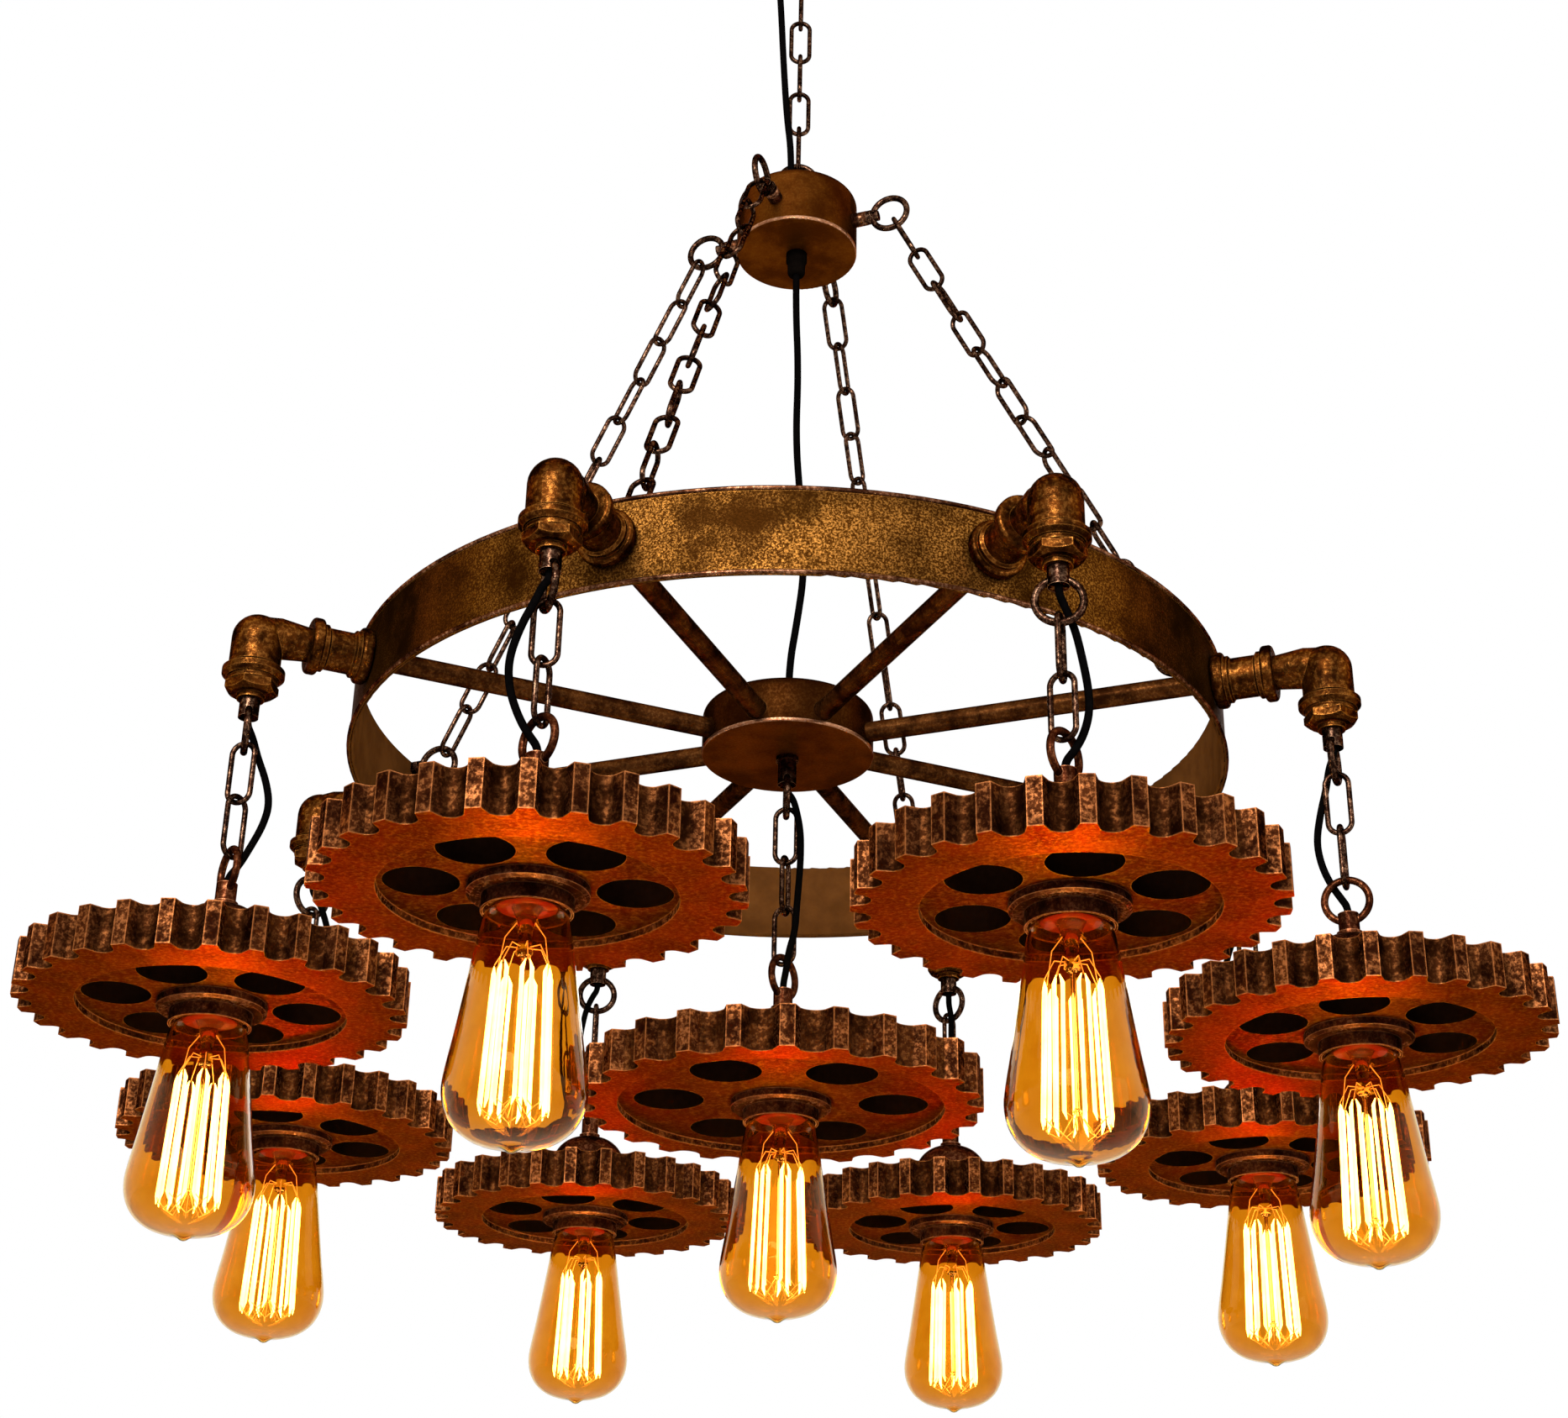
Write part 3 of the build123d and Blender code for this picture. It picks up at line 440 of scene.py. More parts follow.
def pale_floor():
    """Dull white floor, a little brighter to the eye than the light on it makes it."""
    material, tree_nodes, links, shader = new_material("floor_pale")
    shader.inputs["Base Color"].default_value = (0.94, 0.94, 0.93, 1.0)
    shader.inputs["Roughness"].default_value = 0.8
    shader.inputs["Specular IOR Level"].default_value = 0.0
    shader.inputs["Emission Color"].default_value = (1.0, 1.0, 1.0, 1.0)
    links.new(maths(tree_nodes, links, "MULTIPLY", seen_ray(tree_nodes, links), FLOOR_GLOW),
              shader.inputs["Emission Strength"])
    return material


def amber_glass():
    """Clear amber bulb glass."""
    material, tree_nodes, links, shader = new_material("amber_glass")
    place = tree_nodes.new("ShaderNodeTexCoord")
    wave = noise(tree_nodes, links, place, 40.0)
    links.new(mixed(tree_nodes, links, ramp(tree_nodes, links, wave, 0.3, 0.7),
                    (0.76, 0.40, 0.045), (0.85, 0.49, 0.075)), shader.inputs["Base Color"])
    shader.inputs["Roughness"].default_value = 0.0
    shader.inputs["IOR"].default_value = 1.30
    shader.inputs["Specular Tint"].default_value = (1.0, 0.55, 0.14, 1.0)
    shader.inputs["Transmission Weight"].default_value = 1.0
    return material


def clear_glass():
    """Clear glass of the bulb's inner stem."""
    material, tree_nodes, links, shader = new_material("stem_glass")
    shader.inputs["Base Color"].default_value = (1.0, 0.86, 0.62, 1.0)
    shader.inputs["Roughness"].default_value = 0.05
    shader.inputs["IOR"].default_value = 1.45
    shader.inputs["Transmission Weight"].default_value = 1.0
    return material


def glowing(name, colour, strength):
    """Glowing wire."""
    material, tree_nodes, links, shader = new_material(name)
    shader.inputs["Base Color"].default_value = (*colour, 1.0)
    shader.inputs["Emission Color"].default_value = (*colour, 1.0)
    shader.inputs["Emission Strength"].default_value = strength
    return material


# Aged metals: dark, middle and gold tone, and the amount of gold
# The ring's gold fades towards its sides as painted shade
RING = aged_metal("ring_gold", (0.026, 0.008, 0.001), (0.060, 0.018, 0.002), (0.57, 0.235, 0.042), 1.0,
                  patch=22, grain=900, edge_radius=0.0010, rough=(0.28, 0.50), shaded_sides=(0.09, 0.21))
RING_INNER = plain("ring_inner", (0.145, 0.052, 0.012), 0.7, gloss=0.0, grain=60.0)
# Copper of the ring's beads and the hub eyes' sleeves, brightened as a painted highlight
BEAD_HIGHLIGHT = aged_metal("bead_copper_highlight", (0.035, 0.010, 0.004), (0.14, 0.045, 0.016), (0.62, 0.30, 0.16), 0.7,
                  patch=60, grain=500, edge_radius=0.0006, metallic=0.9, rough=(0.24, 0.40), relief=0.15)
PIPE = aged_metal("pipe_bronze", (0.016, 0.004, 0.0008), (0.085, 0.022, 0.003), (0.46, 0.17, 0.030), 0.5,
                  patch=75, grain=420, edge_radius=0.0016, metallic=0.85, rough=(0.22, 0.42), relief=0.7)
HUB = aged_metal("hub_bronze", (0.044, 0.010, 0.001), (0.100, 0.027, 0.003), (0.22, 0.080, 0.012), 0.35,
                 patch=26, grain=700, edge_gain=0.6, rough=(0.34, 0.50), relief=0.15)
WHEEL_HUB = aged_metal("wheel_hub_bronze", (0.018, 0.004, 0.0006), (0.038, 0.010, 0.0013),
                       (0.13, 0.050, 0.012), 0.3,
                       patch=26, grain=700, edge_gain=0.6, rough=(0.36, 0.52), relief=0.15)
COVER = aged_metal("cover_bronze", (0.080, 0.021, 0.0022), (0.165, 0.045, 0.005), (0.28, 0.10, 0.014), 0.25,
                   patch=30, grain=700, edge_radius=0.0006, edge_gain=0.3, rough=(0.36, 0.52), relief=0.12)
# Copper of the hub covers' rims, brightened as a painted highlight
RIM_HIGHLIGHT = aged_metal("rim_copper_highlight", (0.18, 0.060, 0.025), (0.42, 0.18, 0.085), (0.72, 0.40, 0.24), 0.8,
                 patch=60, grain=500, edge_radius=0.0006, metallic=0.95, rough=(0.22, 0.40), relief=0.1)
SPOKE = aged_metal("spoke_bronze", (0.022, 0.006, 0.0014), (0.080, 0.024, 0.005), (0.28, 0.11, 0.030), 0.4,
                   patch=70, grain=600, rough=(0.28, 0.46), relief=0.25)
# The chain's rubbed gold edges are wear and also a painted highlight
CHAIN = aged_metal("chain_bronze", (0.008, 0.003, 0.0018), (0.036, 0.013, 0.007), (0.55, 0.30, 0.17), 0.40,
                   patch=160, grain=500, edge_radius=0.0005, metallic=0.95, rough=(0.16, 0.32), relief=0.3)
HOLDER = aged_metal("holder_bronze", (0.016, 0.003, 0.001), (0.060, 0.013, 0.004), (0.46, 0.17, 0.07), 0.35,
                    patch=80, grain=520, edge_radius=0.0010, edge_gain=1.4, rough=(0.26, 0.46), relief=0.3)
CANOPY = aged_metal("canopy_bronze", (0.034, 0.010, 0.001), (0.090, 0.027, 0.004), (0.32, 0.14, 0.03), 0.4,
                    patch=35, grain=600, relief=0.25)
# The teeth's gold on their rubbed edges is wear, raised to a painted highlight
GEAR_SIDE = aged_metal("gear_side", (0.014, 0.003, 0.001), (0.060, 0.015, 0.004), (0.58, 0.195, 0.058), 0.5,
                       patch=75, grain=430, edge_radius=0.0016, edge_gain=1.2, metallic=0.8,
                       rough=(0.34, 0.58), relief=0.6)
# The valleys between the teeth take a darker copy of the teeth's bronze as painted shade
GEAR_VALLEY_SHADE = aged_metal("gear_valley_shaded", (0.012, 0.0030, 0.0008), (0.046, 0.012, 0.003),
                         (0.38, 0.13, 0.036), 0.30,
                         patch=75, grain=430, metallic=0.8, rough=(0.40, 0.60), relief=0.6)

# Rusty faces: dark, middle and rubbed tone
GEAR_FACE = rusty_face("gear_face", (0.070, 0.0085, 0.0009), (0.155, 0.021, 0.0018), (0.48, 0.20, 0.012))
# The recess floor takes a darker copy of the faces' rust as painted shade in the recess
GEAR_FLOOR_SHADE = rusty_face("gear_floor", (0.042, 0.005, 0.0008), (0.092, 0.0118, 0.0014), (0.42, 0.16, 0.012))

# Even materials: tone and roughness
# The gears' hole walls are near black as painted shade inside the holes
GEAR_HOLE_SHADE = plain("gear_hole_shaded", (0.005, 0.0018, 0.0008), 0.7, gloss=0.0)
BLACK = plain("grip_black", (0.006, 0.004, 0.003), 0.6, gloss=0.0)
CABLE = plain("cable_black", (0.0035, 0.003, 0.003), 0.55, gloss=0.0)
BRASS = plain("cap_brass", (0.40, 0.16, 0.05), 0.35, metallic=1.0)
SEAL = plain("seal_red", (0.17, 0.004, 0.008), 0.5, gloss=0.1)

# Glass, the glowing filament, and the support wires, whose glow is painted light
GLASS = amber_glass()
STEM = clear_glass()
FILAMENT = glowing("filament_glow", (1.0, 0.86, 0.86), 14.0)
HOOK_PAINTED_GLOW = glowing("hook_wire_painted_glow", (1.0, 0.45, 0.30), 0.9)

NODE_MATERIALS = {
    "ceiling_canopy": CANOPY,
    "ceiling_bracket": CANOPY,
    "canopy_loop": CHAIN,
    "canopy_grip": BLACK,
    "main_chain": CHAIN,
    "upper_hub": HUB,
    "upper_hub_eyebolts": CHAIN,
    "cable_grips": BLACK,
    "ring_eyebolts": CHAIN,
    "wheel_hub": WHEEL_HUB,
    "wheel_spokes": SPOKE,
    "arm_couplings": PIPE,
    "arm_elbows": PIPE,
    "arm_bushings": PIPE,
    "pendant_loops": CHAIN,
}
GEAR_MATERIALS = (GEAR_SIDE, GEAR_FACE, GEAR_HOLE_SHADE, GEAR_FLOOR_SHADE, GEAR_VALLEY_SHADE)

# Radii that part the gears' faces and the ring's, and how level a face is that counts as flat
OUTER_RECESS_MM = 68.3
OUTER_VALLEY_MM = 93.2
CENTRE_RECESS_MM = 91.0
CENTRE_VALLEY_MM = 106.5
RECESS_FLOOR_MARGIN_MM = 0.3
RECESS_WALL_MARGIN_MM = 1.5
RING_BEAD_FROM_MM = 256.35
GEAR_FLAT = 0.7
COVER_FLAT = 0.95


def paint(node, materials, choose):
    """Gives a CAD node several materials, each face the one that choose(centre, normal) numbers."""
    mesh = node.data
    mesh.materials.clear()
    for material in materials:
        mesh.materials.append(material)
    for polygon in mesh.polygons:
        polygon.material_index = choose(polygon.center, polygon.normal)


def gear_part(centre, recess, valley):
    """Chooser for a gear's faces: 0 teeth and recess wall, 1 rim, 2 holes, near black as painted shade, 3 recess
    floor, darker as painted shade, 4 valleys, darker as painted shade.
    """
    def choose(spot, normal):
        across = math.hypot(spot.x - centre.x, spot.y - centre.y)
        if abs(normal.z) > GEAR_FLAT:
            return 3 if across < recess - RECESS_FLOOR_MARGIN_MM * MM else 1
        if across < recess - RECESS_WALL_MARGIN_MM * MM:
            return 2
        return 4 if recess + RECESS_WALL_MARGIN_MM * MM < across < valley else 0
    return choose


def cover_part(spot, normal):
    """Hub cover's faces: 0 the flat ones, 1 the rim, bright copper as a painted highlight."""
    return 0 if abs(normal.z) > COVER_FLAT else 1


def ring_part(spot, normal):
    """Ring's faces: 0 the band, 1 the beads, bright copper as a painted highlight, 2 the inner side."""
    if math.hypot(spot.x, spot.y) > RING_BEAD_FROM_MM * MM:
        return 1
    return 2 if normal.x * spot.x + normal.y * spot.y < 0 else 0


for name, node in nodes.items():
    material = NODE_MATERIALS.get(name)
    if name.startswith(("suspension_chain", "drop_chain")):
        material = CHAIN
    elif name.startswith("lamp_holder"):
        material = HOLDER
    if material:
        node.data.materials.clear()
        node.data.materials.append(material)
for name, azimuth, *_ in PENDANTS:
    middle = around(azimuth, PENDANT_RADIUS_MM, 0)
    paint(nodes[f"gear_{name}"], GEAR_MATERIALS,
          gear_part(middle, OUTER_RECESS_MM * MM, OUTER_VALLEY_MM * MM))
paint(nodes["gear_centre"], GEAR_MATERIALS,
      gear_part(Vector((0, 0, 0)), CENTRE_RECESS_MM * MM, CENTRE_VALLEY_MM * MM))
paint(nodes["hub_covers"], (COVER, RIM_HIGHLIGHT), cover_part)
paint(nodes["wheel_ring"], (RING, BEAD_HIGHLIGHT, RING_INNER), ring_part)

# Radius in metres under which a point of an outline lies on the axis
ON_AXIS = 1e-7


def add_object(name, mesh, material):
    """Mesh object in the scene with one material."""
    obj = bpy.data.objects.new(name, mesh)
    mesh.materials.append(material)
    bpy.context.collection.objects.link(obj)
    return obj


def lathe(name, profile, material, place, steps):
    """Smooth surface turned about Z from (radius, z) points in metres; points on the axis close it."""
    mesh = bpy.data.meshes.new(name)
    shape = bmesh.new()
    rings = []
    for radius, height in profile:
        if radius < ON_AXIS:
            rings.append([shape.verts.new((0, 0, height))])
            continue
        rings.append([
            shape.verts.new((radius * math.cos(2 * math.pi * step / steps),
                             radius * math.sin(2 * math.pi * step / steps), height))
            for step in range(steps)
        ])
    for lower, upper in zip(rings, rings[1:]):
        for step in range(steps):
            after = (step + 1) % steps
            if len(lower) == 1:
                shape.faces.new((lower[0], upper[step], upper[after]))
            elif len(upper) == 1:
                shape.faces.new((lower[step], upper[0], lower[after]))
            else:
                shape.faces.new((lower[step], upper[step], upper[after], lower[after]))
    bmesh.ops.recalc_face_normals(shape, faces=shape.faces)
    for face in shape.faces:
        face.smooth = True
    shape.to_mesh(mesh)
    shape.free()
    obj = add_object(name, mesh, material)
    obj.location = place
    return obj


def smooth_line(points, steps):
    """Smooth curve through (radius, z) points, in equal steps from one point to the next."""
    ends = [points[0]] + list(points) + [points[-1]]
    line = []
    for before, start, end, after in zip(ends, ends[1:], ends[2:], ends[3:]):
        for step in range(steps):
            t = step / steps
            line.append(tuple(
                0.5 * (2 * q + (r - p) * t + (2 * p - 5 * q + 4 * r - s) * t * t
                       + (3 * q - p - 3 * r + s) * t**3)
                for p, q, r, s in zip(before, start, end, after)
            ))
    line.append(points[-1])
    return line


def curve_mesh(name, curve):
    """Mesh of a curve, which is deleted."""
    holder = bpy.data.objects.new(name, curve)
    bpy.context.collection.objects.link(holder)
    mesh = bpy.data.meshes.new_from_object(holder.evaluated_get(bpy.context.evaluated_depsgraph_get()))
    bpy.data.objects.remove(holder)
    bpy.data.curves.remove(curve)
    return mesh


def wire_mesh(name, lines, radius, material, roundness=2, tip=1.0):
    """Round wires through lists of points, as one mesh; tip is the share of the radius at their ends."""
    curve = bpy.data.curves.new(name, "CURVE")
    curve.dimensions = "3D"
    curve.bevel_depth = radius
    curve.bevel_resolution = roundness
    curve.use_fill_caps = True
    for line in lines:
        spline = curve.splines.new("POLY")
        spline.points.add(len(line) - 1)
        for point, place in zip(spline.points, line):
            point.co = (*place, 1.0)
        spline.points[0].radius = tip
        spline.points[-1].radius = tip
    mesh = curve_mesh(name, curve)
    mesh.name = name
    mesh.materials.clear()
    for polygon in mesh.polygons:
        polygon.use_smooth = True
    return add_object(name, mesh, material)


# Bulb's cap, from its depths below the lamp holder's eye centre: contact, shoulder, threads and lip
CAP_TOP_MM = 52.4
CAP_BOTTOM_MM = 79.4
CAP_RADIUS_MM = 13.1
CAP_CONTACT_MM = [(0.0, 2.0), (4.5, 1.8), (5.5, 0.0)]
CAP_SHOULDER_SHARE = 0.8
CAP_SHOULDER_DROP_MM = 1.0
CAP_THREADS = 5
CAP_STEPS_PER_THREAD = 8
CAP_THREAD_DEPTH_MM = 0.5
CAP_THREADS_FROM_MM = 2.5
CAP_UNTHREADED_MM = 4.5
CAP_LIP_INSET_MM = 0.3

# Bulb's glass and its inner stem, as (radius, depth) below the cap, and the seal at the cap's mouth
GLASS_WALL_MM = 1.0
GLASS_OUTLINE_MM = [
    (12.9, 0.0), (13.2, 1.2), (15.6, 3.4), (18.3, 6.0), (19.6, 9.5), (20.6, 14.0), (22.6, 27.0),
    (25.3, 45.0), (28.6, 66.0), (30.9, 79.0), (31.9, 88.0), (30.6, 96.5), (26.4, 104.0), (19.5, 109.3),
    (11.5, 112.0), (6.0, 113.0), (3.2, 114.3), (1.6, 115.4), (0.0, 115.8),
]
LEAST_GLASS_STEP = 1e-5
STEM_BELOW_CAP_MM = 1
STEM_OUTLINE_MM = [
    (0.0, 0.0), (9.0, 0.0), (7.0, 3.0), (4.5, 8.0), (3.6, 14.0), (3.2, 20.0), (4.0, 24.0), (2.6, 26.0),
    (1.1, 28.0), (1.0, 60.0), (1.0, 88.0), (2.2, 90.0), (0.0, 92.0),
]
SEAL_RADIUS_MM = 13.8
SEAL_DROP_MM = 3.2
SEAL_THICKNESS_MM = 0.6

# Filament: pairs of legs on a cage that widens downwards, with depths below the lamp holder's eye centre
FILAMENT_TOP_MM = 115.5
FILAMENT_BOTTOM_MM = 174.0
FILAMENT_RADIUS_TOP_MM = 12.8
FILAMENT_RADIUS_BOTTOM_MM = 15.0
FILAMENT_HAIRPINS = 7
FILAMENT_TIP_MM = 4.0
FILAMENT_TIP_SHARE = 0.2
FILAMENT_LEG_ASIDE_MM = 2.2
FILAMENT_WIRE_MM = 1.9
PEAK_SPREAD = 0.4
FOOT_SPREAD = 1.5

# Thin wires: bends between the legs, hooks as (radius, depth), and feeds as (x, y, depth)
HOOK_WIRE_MM = 0.5
HIGH_BEND_RISE_MM = 5.0
LOW_BEND_DROP_MM = 4.0
LOW_BEND_INSET_MM = 0.5
STEM_HOOK_MM = [(2.5, 102.0), (8.0, 101.5)]
ROD_HOOK_MM = [(1.5, 171.5), (8.0, 182.0)]
FEED_WIRE_MM = [(4.0, 0, 90.0), (9.0, 0, 97.0), (11.5, 0.8, 113.0)]


def bulb_glass(name, origin):
    """Thin amber glass shell with its inner and outer skin, open inside the cap."""
    outer = smooth_line([(radius * MM, -depth * MM) for radius, depth in GLASS_OUTLINE_MM], 3)
    wall = GLASS_WALL_MM * MM
    inner = []
    for number, (radius, height) in enumerate(outer):
        before = Vector(outer[max(number - 1, 0)])
        after = Vector(outer[min(number + 1, len(outer) - 1)])
        along = (after - before).normalized()
        inwards = Vector((along.y, -along.x))
        point = Vector((radius, height)) + inwards * wall
        if number == len(outer) - 1:
            point = Vector((0, height + wall))
        inner.append((max(point.x, 0.0), point.y))
    kept = [inner[0]]
    for point in inner[1:]:
        if point[1] < kept[-1][1] - LEAST_GLASS_STEP and (point[0] > ON_AXIS or point is inner[-1]):
            kept.append(point)
    if kept[-1][0] > ON_AXIS:
        kept.append((0.0, kept[-1][1]))
    return lathe(f"bulb_glass_{name}", kept[::-1] + outer, GLASS, below(origin, CAP_BOTTOM_MM), steps=64)


def bulb_cap(name, origin):
    """Brass screw cap with rolled threads."""
    length = (CAP_BOTTOM_MM - CAP_TOP_MM) * MM
    cap_radius = CAP_RADIUS_MM * MM
    depth = CAP_THREAD_DEPTH_MM * MM
    profile = [(radius * MM, height * MM) for radius, height in CAP_CONTACT_MM]
    profile.append((cap_radius * CAP_SHOULDER_SHARE, -CAP_SHOULDER_DROP_MM * MM))
    steps = CAP_THREADS * CAP_STEPS_PER_THREAD
    for step in range(steps + 1):
        share = step / steps
        radius = cap_radius - depth + depth * math.cos(share * CAP_THREADS * 2 * math.pi)
        profile.append((radius, -CAP_THREADS_FROM_MM * MM - share * (length - CAP_UNTHREADED_MM * MM)))
    profile += [(cap_radius - CAP_LIP_INSET_MM * MM, -length), (0.0, -length)]
    return lathe(f"bulb_cap_{name}", profile, BRASS, below(origin, CAP_TOP_MM), steps=40)


def bulb_seal(name, origin):
    """Red seal at the mouth of the cap, which shows through the neck of the glass."""
    radius = SEAL_RADIUS_MM * MM
    thickness = SEAL_THICKNESS_MM * MM
    profile = [(0.0, 0.0), (radius, 0.0), (radius, -thickness), (0.0, -thickness)]
    return lathe(f"bulb_seal_{name}", profile, SEAL, below(origin, CAP_BOTTOM_MM + SEAL_DROP_MM), steps=40)


def bulb_stem(name, origin):
    """Glass stem with its flare and the rod that the lower hooks stand in, inside the bulb."""
    profile = smooth_line([(radius * MM, -depth * MM) for radius, depth in STEM_OUTLINE_MM], 2)
    place = below(origin, CAP_BOTTOM_MM + STEM_BELOW_CAP_MM)
    return lathe(f"bulb_stem_{name}", profile, STEM, place, steps=20)


def cage_spot(turn, radius, depth, aside=0.0):
    """Point in millimetres on the filament's cage, at a turn of hairpins and aside along the circle."""
    angle = 2 * math.pi * (turn + 0.5) / FILAMENT_HAIRPINS + aside / radius
    return Vector((radius * math.cos(angle), radius * math.sin(angle), -depth))


def top_spot(turn, aside=0.0, rise=0.0):
    """Point on the cage's upper circle, or at a rise above it."""
    return cage_spot(turn, FILAMENT_RADIUS_TOP_MM, FILAMENT_TOP_MM - rise, aside)


def bottom_spot(turn, aside=0.0, drop=0.0):
    """Point on the cage's lower circle, or at a drop below it."""
    return cage_spot(turn, FILAMENT_RADIUS_BOTTOM_MM, FILAMENT_BOTTOM_MM + drop, aside)


def filament(name, origin):
    """Glowing legs of the cage filament, in pairs round the rod."""
    lines = []
    for pair in range(FILAMENT_HAIRPINS):
        for aside in (-FILAMENT_LEG_ASIDE_MM, FILAMENT_LEG_ASIDE_MM):
            spots = (
                top_spot(pair, PEAK_SPREAD * aside, FILAMENT_TIP_MM),
                top_spot(pair, aside),
                bottom_spot(pair, aside),
                bottom_spot(pair, FOOT_SPREAD * aside, FILAMENT_TIP_MM),
            )
            lines.append([origin + spot * MM for spot in spots])
    radius = FILAMENT_WIRE_MM * MM / 2
    return wire_mesh(f"bulb_filament_{name}", lines, radius, FILAMENT, tip=FILAMENT_TIP_SHARE)


def support_wires(name, origin):
    """Thin bends between the legs, the hooks that hold them from stem and rod, and the two feeds, all with a painted
    glow.
    """
    lines = []
    aside = FILAMENT_LEG_ASIDE_MM
    for pair in range(FILAMENT_HAIRPINS):
        high = top_spot(pair, rise=HIGH_BEND_RISE_MM)
        lines.append([top_spot(pair, -aside), high, top_spot(pair, aside)])
        lines.append([cage_spot(pair, radius, depth) for radius, depth in STEM_HOOK_MM] + [high])
        between_pairs = pair + 0.5
        low = cage_spot(between_pairs, FILAMENT_RADIUS_BOTTOM_MM - LOW_BEND_INSET_MM,
                        FILAMENT_BOTTOM_MM + LOW_BEND_DROP_MM)
        lines.append([bottom_spot(pair, aside), low, bottom_spot(pair + 1, -aside)])
        lines.append([cage_spot(between_pairs, radius, depth) for radius, depth in ROD_HOOK_MM] + [low])
    for side in (-1, 1):
        lines.append([Vector((side * x, y, -depth)) for x, y, depth in FEED_WIRE_MM])
    routes = [[origin + spot * MM for spot in line] for line in lines]
    return wire_mesh(f"bulb_hooks_{name}", routes, HOOK_WIRE_MM * MM / 2, HOOK_PAINTED_GLOW, roundness=1)


# Cables from grip to grip, as in the CAD source: ends as heights from the ceiling, and a route of
# (x, y, share of the way down)
CABLE_MM = 4.5
UPPER_TOP_MM = -37.0
UPPER_END_MM = -266.9
UPPER_ROUTE = [
    (-17.0, 0, 0.0), (-17.0, 0, 0.12), (-14.0, -2.5, 0.32), (-11.5, -5.5, 0.54), (-8.5, -9.5, 0.76),
    (-5.0, -12.5, 0.9), (-5.0, -12.5, 1.0),
]
LOWER_TOP_MM = -326.9
LOWER_END_MM = -643.787
LOWER_ROUTE = [
    (0, 0, 0.0), (0, 0, 0.1), (2.5, -1.0, 0.26), (1.5, -2.5, 0.43), (5.5, -2.0, 0.58), (8.5, 0.5, 0.72),
    (4.5, 2.0, 0.83), (0, 0, 0.93), (0, 0, 1.0),
]

# Drop cords, as in the CAD source: x outwards, y to the cord's side, and the height from the upper eye for
# the start and the upper stretches, from the lower eye for the lower stretches and the end
DROP_CORD_MM = 4.0
STEM_BITE_MM = 7.5
DROP_START_MM = [(0, 0, STEM_BITE_MM), (0, 0, 3.5), (-3.8, 3.0, -2.5)]
DROP_END_MM = [(0, 0, -3.5), (0, 0, -STEM_BITE_MM)]
ARM_DROP_UPPER_MM = [(-6.5, 6.5, -12.5), (-11.0, 8.0, -26.0), (-14.5, 8.5, -42.0)]
ARM_DROP_LOWER_MM = [(-13.0, 8.0, 25.6), (-8.5, 6.0, 12.5), (-3.0, 3.8, 2.5)]
CENTRE_DROP_UPPER_MM = [
    (-6.5, 6.0, -12.5), (-9.5, 7.0, -26.0), (-10.5, 7.0, -42.0), (-10.5, 7.0, -58.0), (-10.5, 7.5, -74.0),
]
CENTRE_DROP_LOWER_MM = [(-10.5, 7.0, 24.0), (-7.0, 6.5, 12.5), (-3.8, 3.0, 2.5)]
CORD_CURVE_ORDER = 3
CORD_SAMPLES = 12


def spline_points(points):
    """Points along the smooth curve that has the route's points as its control points."""
    curve = bpy.data.curves.new("route", "CURVE")
    curve.dimensions = "3D"
    curve.resolution_u = CORD_SAMPLES
    spline = curve.splines.new("NURBS")
    spline.points.add(len(points) - 1)
    for point, place in zip(spline.points, points):
        point.co = (*place, 1.0)
    spline.order_u = CORD_CURVE_ORDER
    spline.use_endpoint_u = True
    mesh = curve_mesh("route", curve)
    line = [vertex.co.copy() for vertex in mesh.vertices]
    bpy.data.meshes.remove(mesh)
    return line


def cord_mesh(name, points, diameter):
    """Round cord as a mesh along the smooth curve of a route, in metres: (object, line, length)."""
    line = spline_points(points)
    obj = wire_mesh(name, [line], diameter / 2, CABLE, roundness=4)
    length = sum((end - start).length for start, end in zip(line, line[1:]))
    return obj, line, length


def between(route, top, end):
    """Route points in metres from (x, y, share of the way down)."""
    return [Vector((x, y, top + (end - top) * share)) * MM for x, y, share in route]


def drop_route(azimuth, radius, eye, links, side, turn, twist):
    """Points of a drop cord in metres: out of the upper stem, beside the links and into the lower stem."""
    if links == CENTRE_LINKS:
        foot = -CENTRE_SPAN_MM
        upper_stretch = CENTRE_DROP_UPPER_MM
        lower_stretch = CENTRE_DROP_LOWER_MM
    else:
        foot = -ARM_SPAN_MM
        upper_stretch = ARM_DROP_UPPER_MM
        lower_stretch = ARM_DROP_LOWER_MM
    local = [(x, y * side, z) for x, y, z in DROP_START_MM + upper_stretch]
    local += [(x, y * side, foot + z) for x, y, z in lower_stretch + DROP_END_MM]
    centre = around(azimuth, radius, eye)
    points = []
    for x, y, z in local:
        share = min(max(z / foot, 0), 1)
        turned = math.radians(azimuth - 90 + turn + (links + 1) * twist * share)
        spot = Matrix.Rotation(turned, 3, "Z") @ Vector((x, y, z))
        points.append(centre + spot * MM)
    return points


# Rubber sleeve round the cable's grip below the upper hub, as (radius, depth)
HUB_BOTTOM_MM = -317.9
HUB_SLEEVE_OUTLINE_MM = [
    (3.0, 0.05), (6.9, 0.05), (6.9, 6.0), (5.9, 8.0), (5.7, 15.0), (4.9, 16.5), (2.6, 16.9),
]

# Thick sleeves on the stems of the upper hub's side eyes
SIDE_EYE_MM = -300.5
SIDE_EYE_AZIMUTHS = [67.5, 157.5, -112.5, -22.5]
SIDE_SLEEVE_FROM_MM = 39.7
SIDE_SLEEVE_OUTLINE_MM = [(3.32, 0), (4.7, 0), (4.7, 9.4), (3.32, 9.4)]


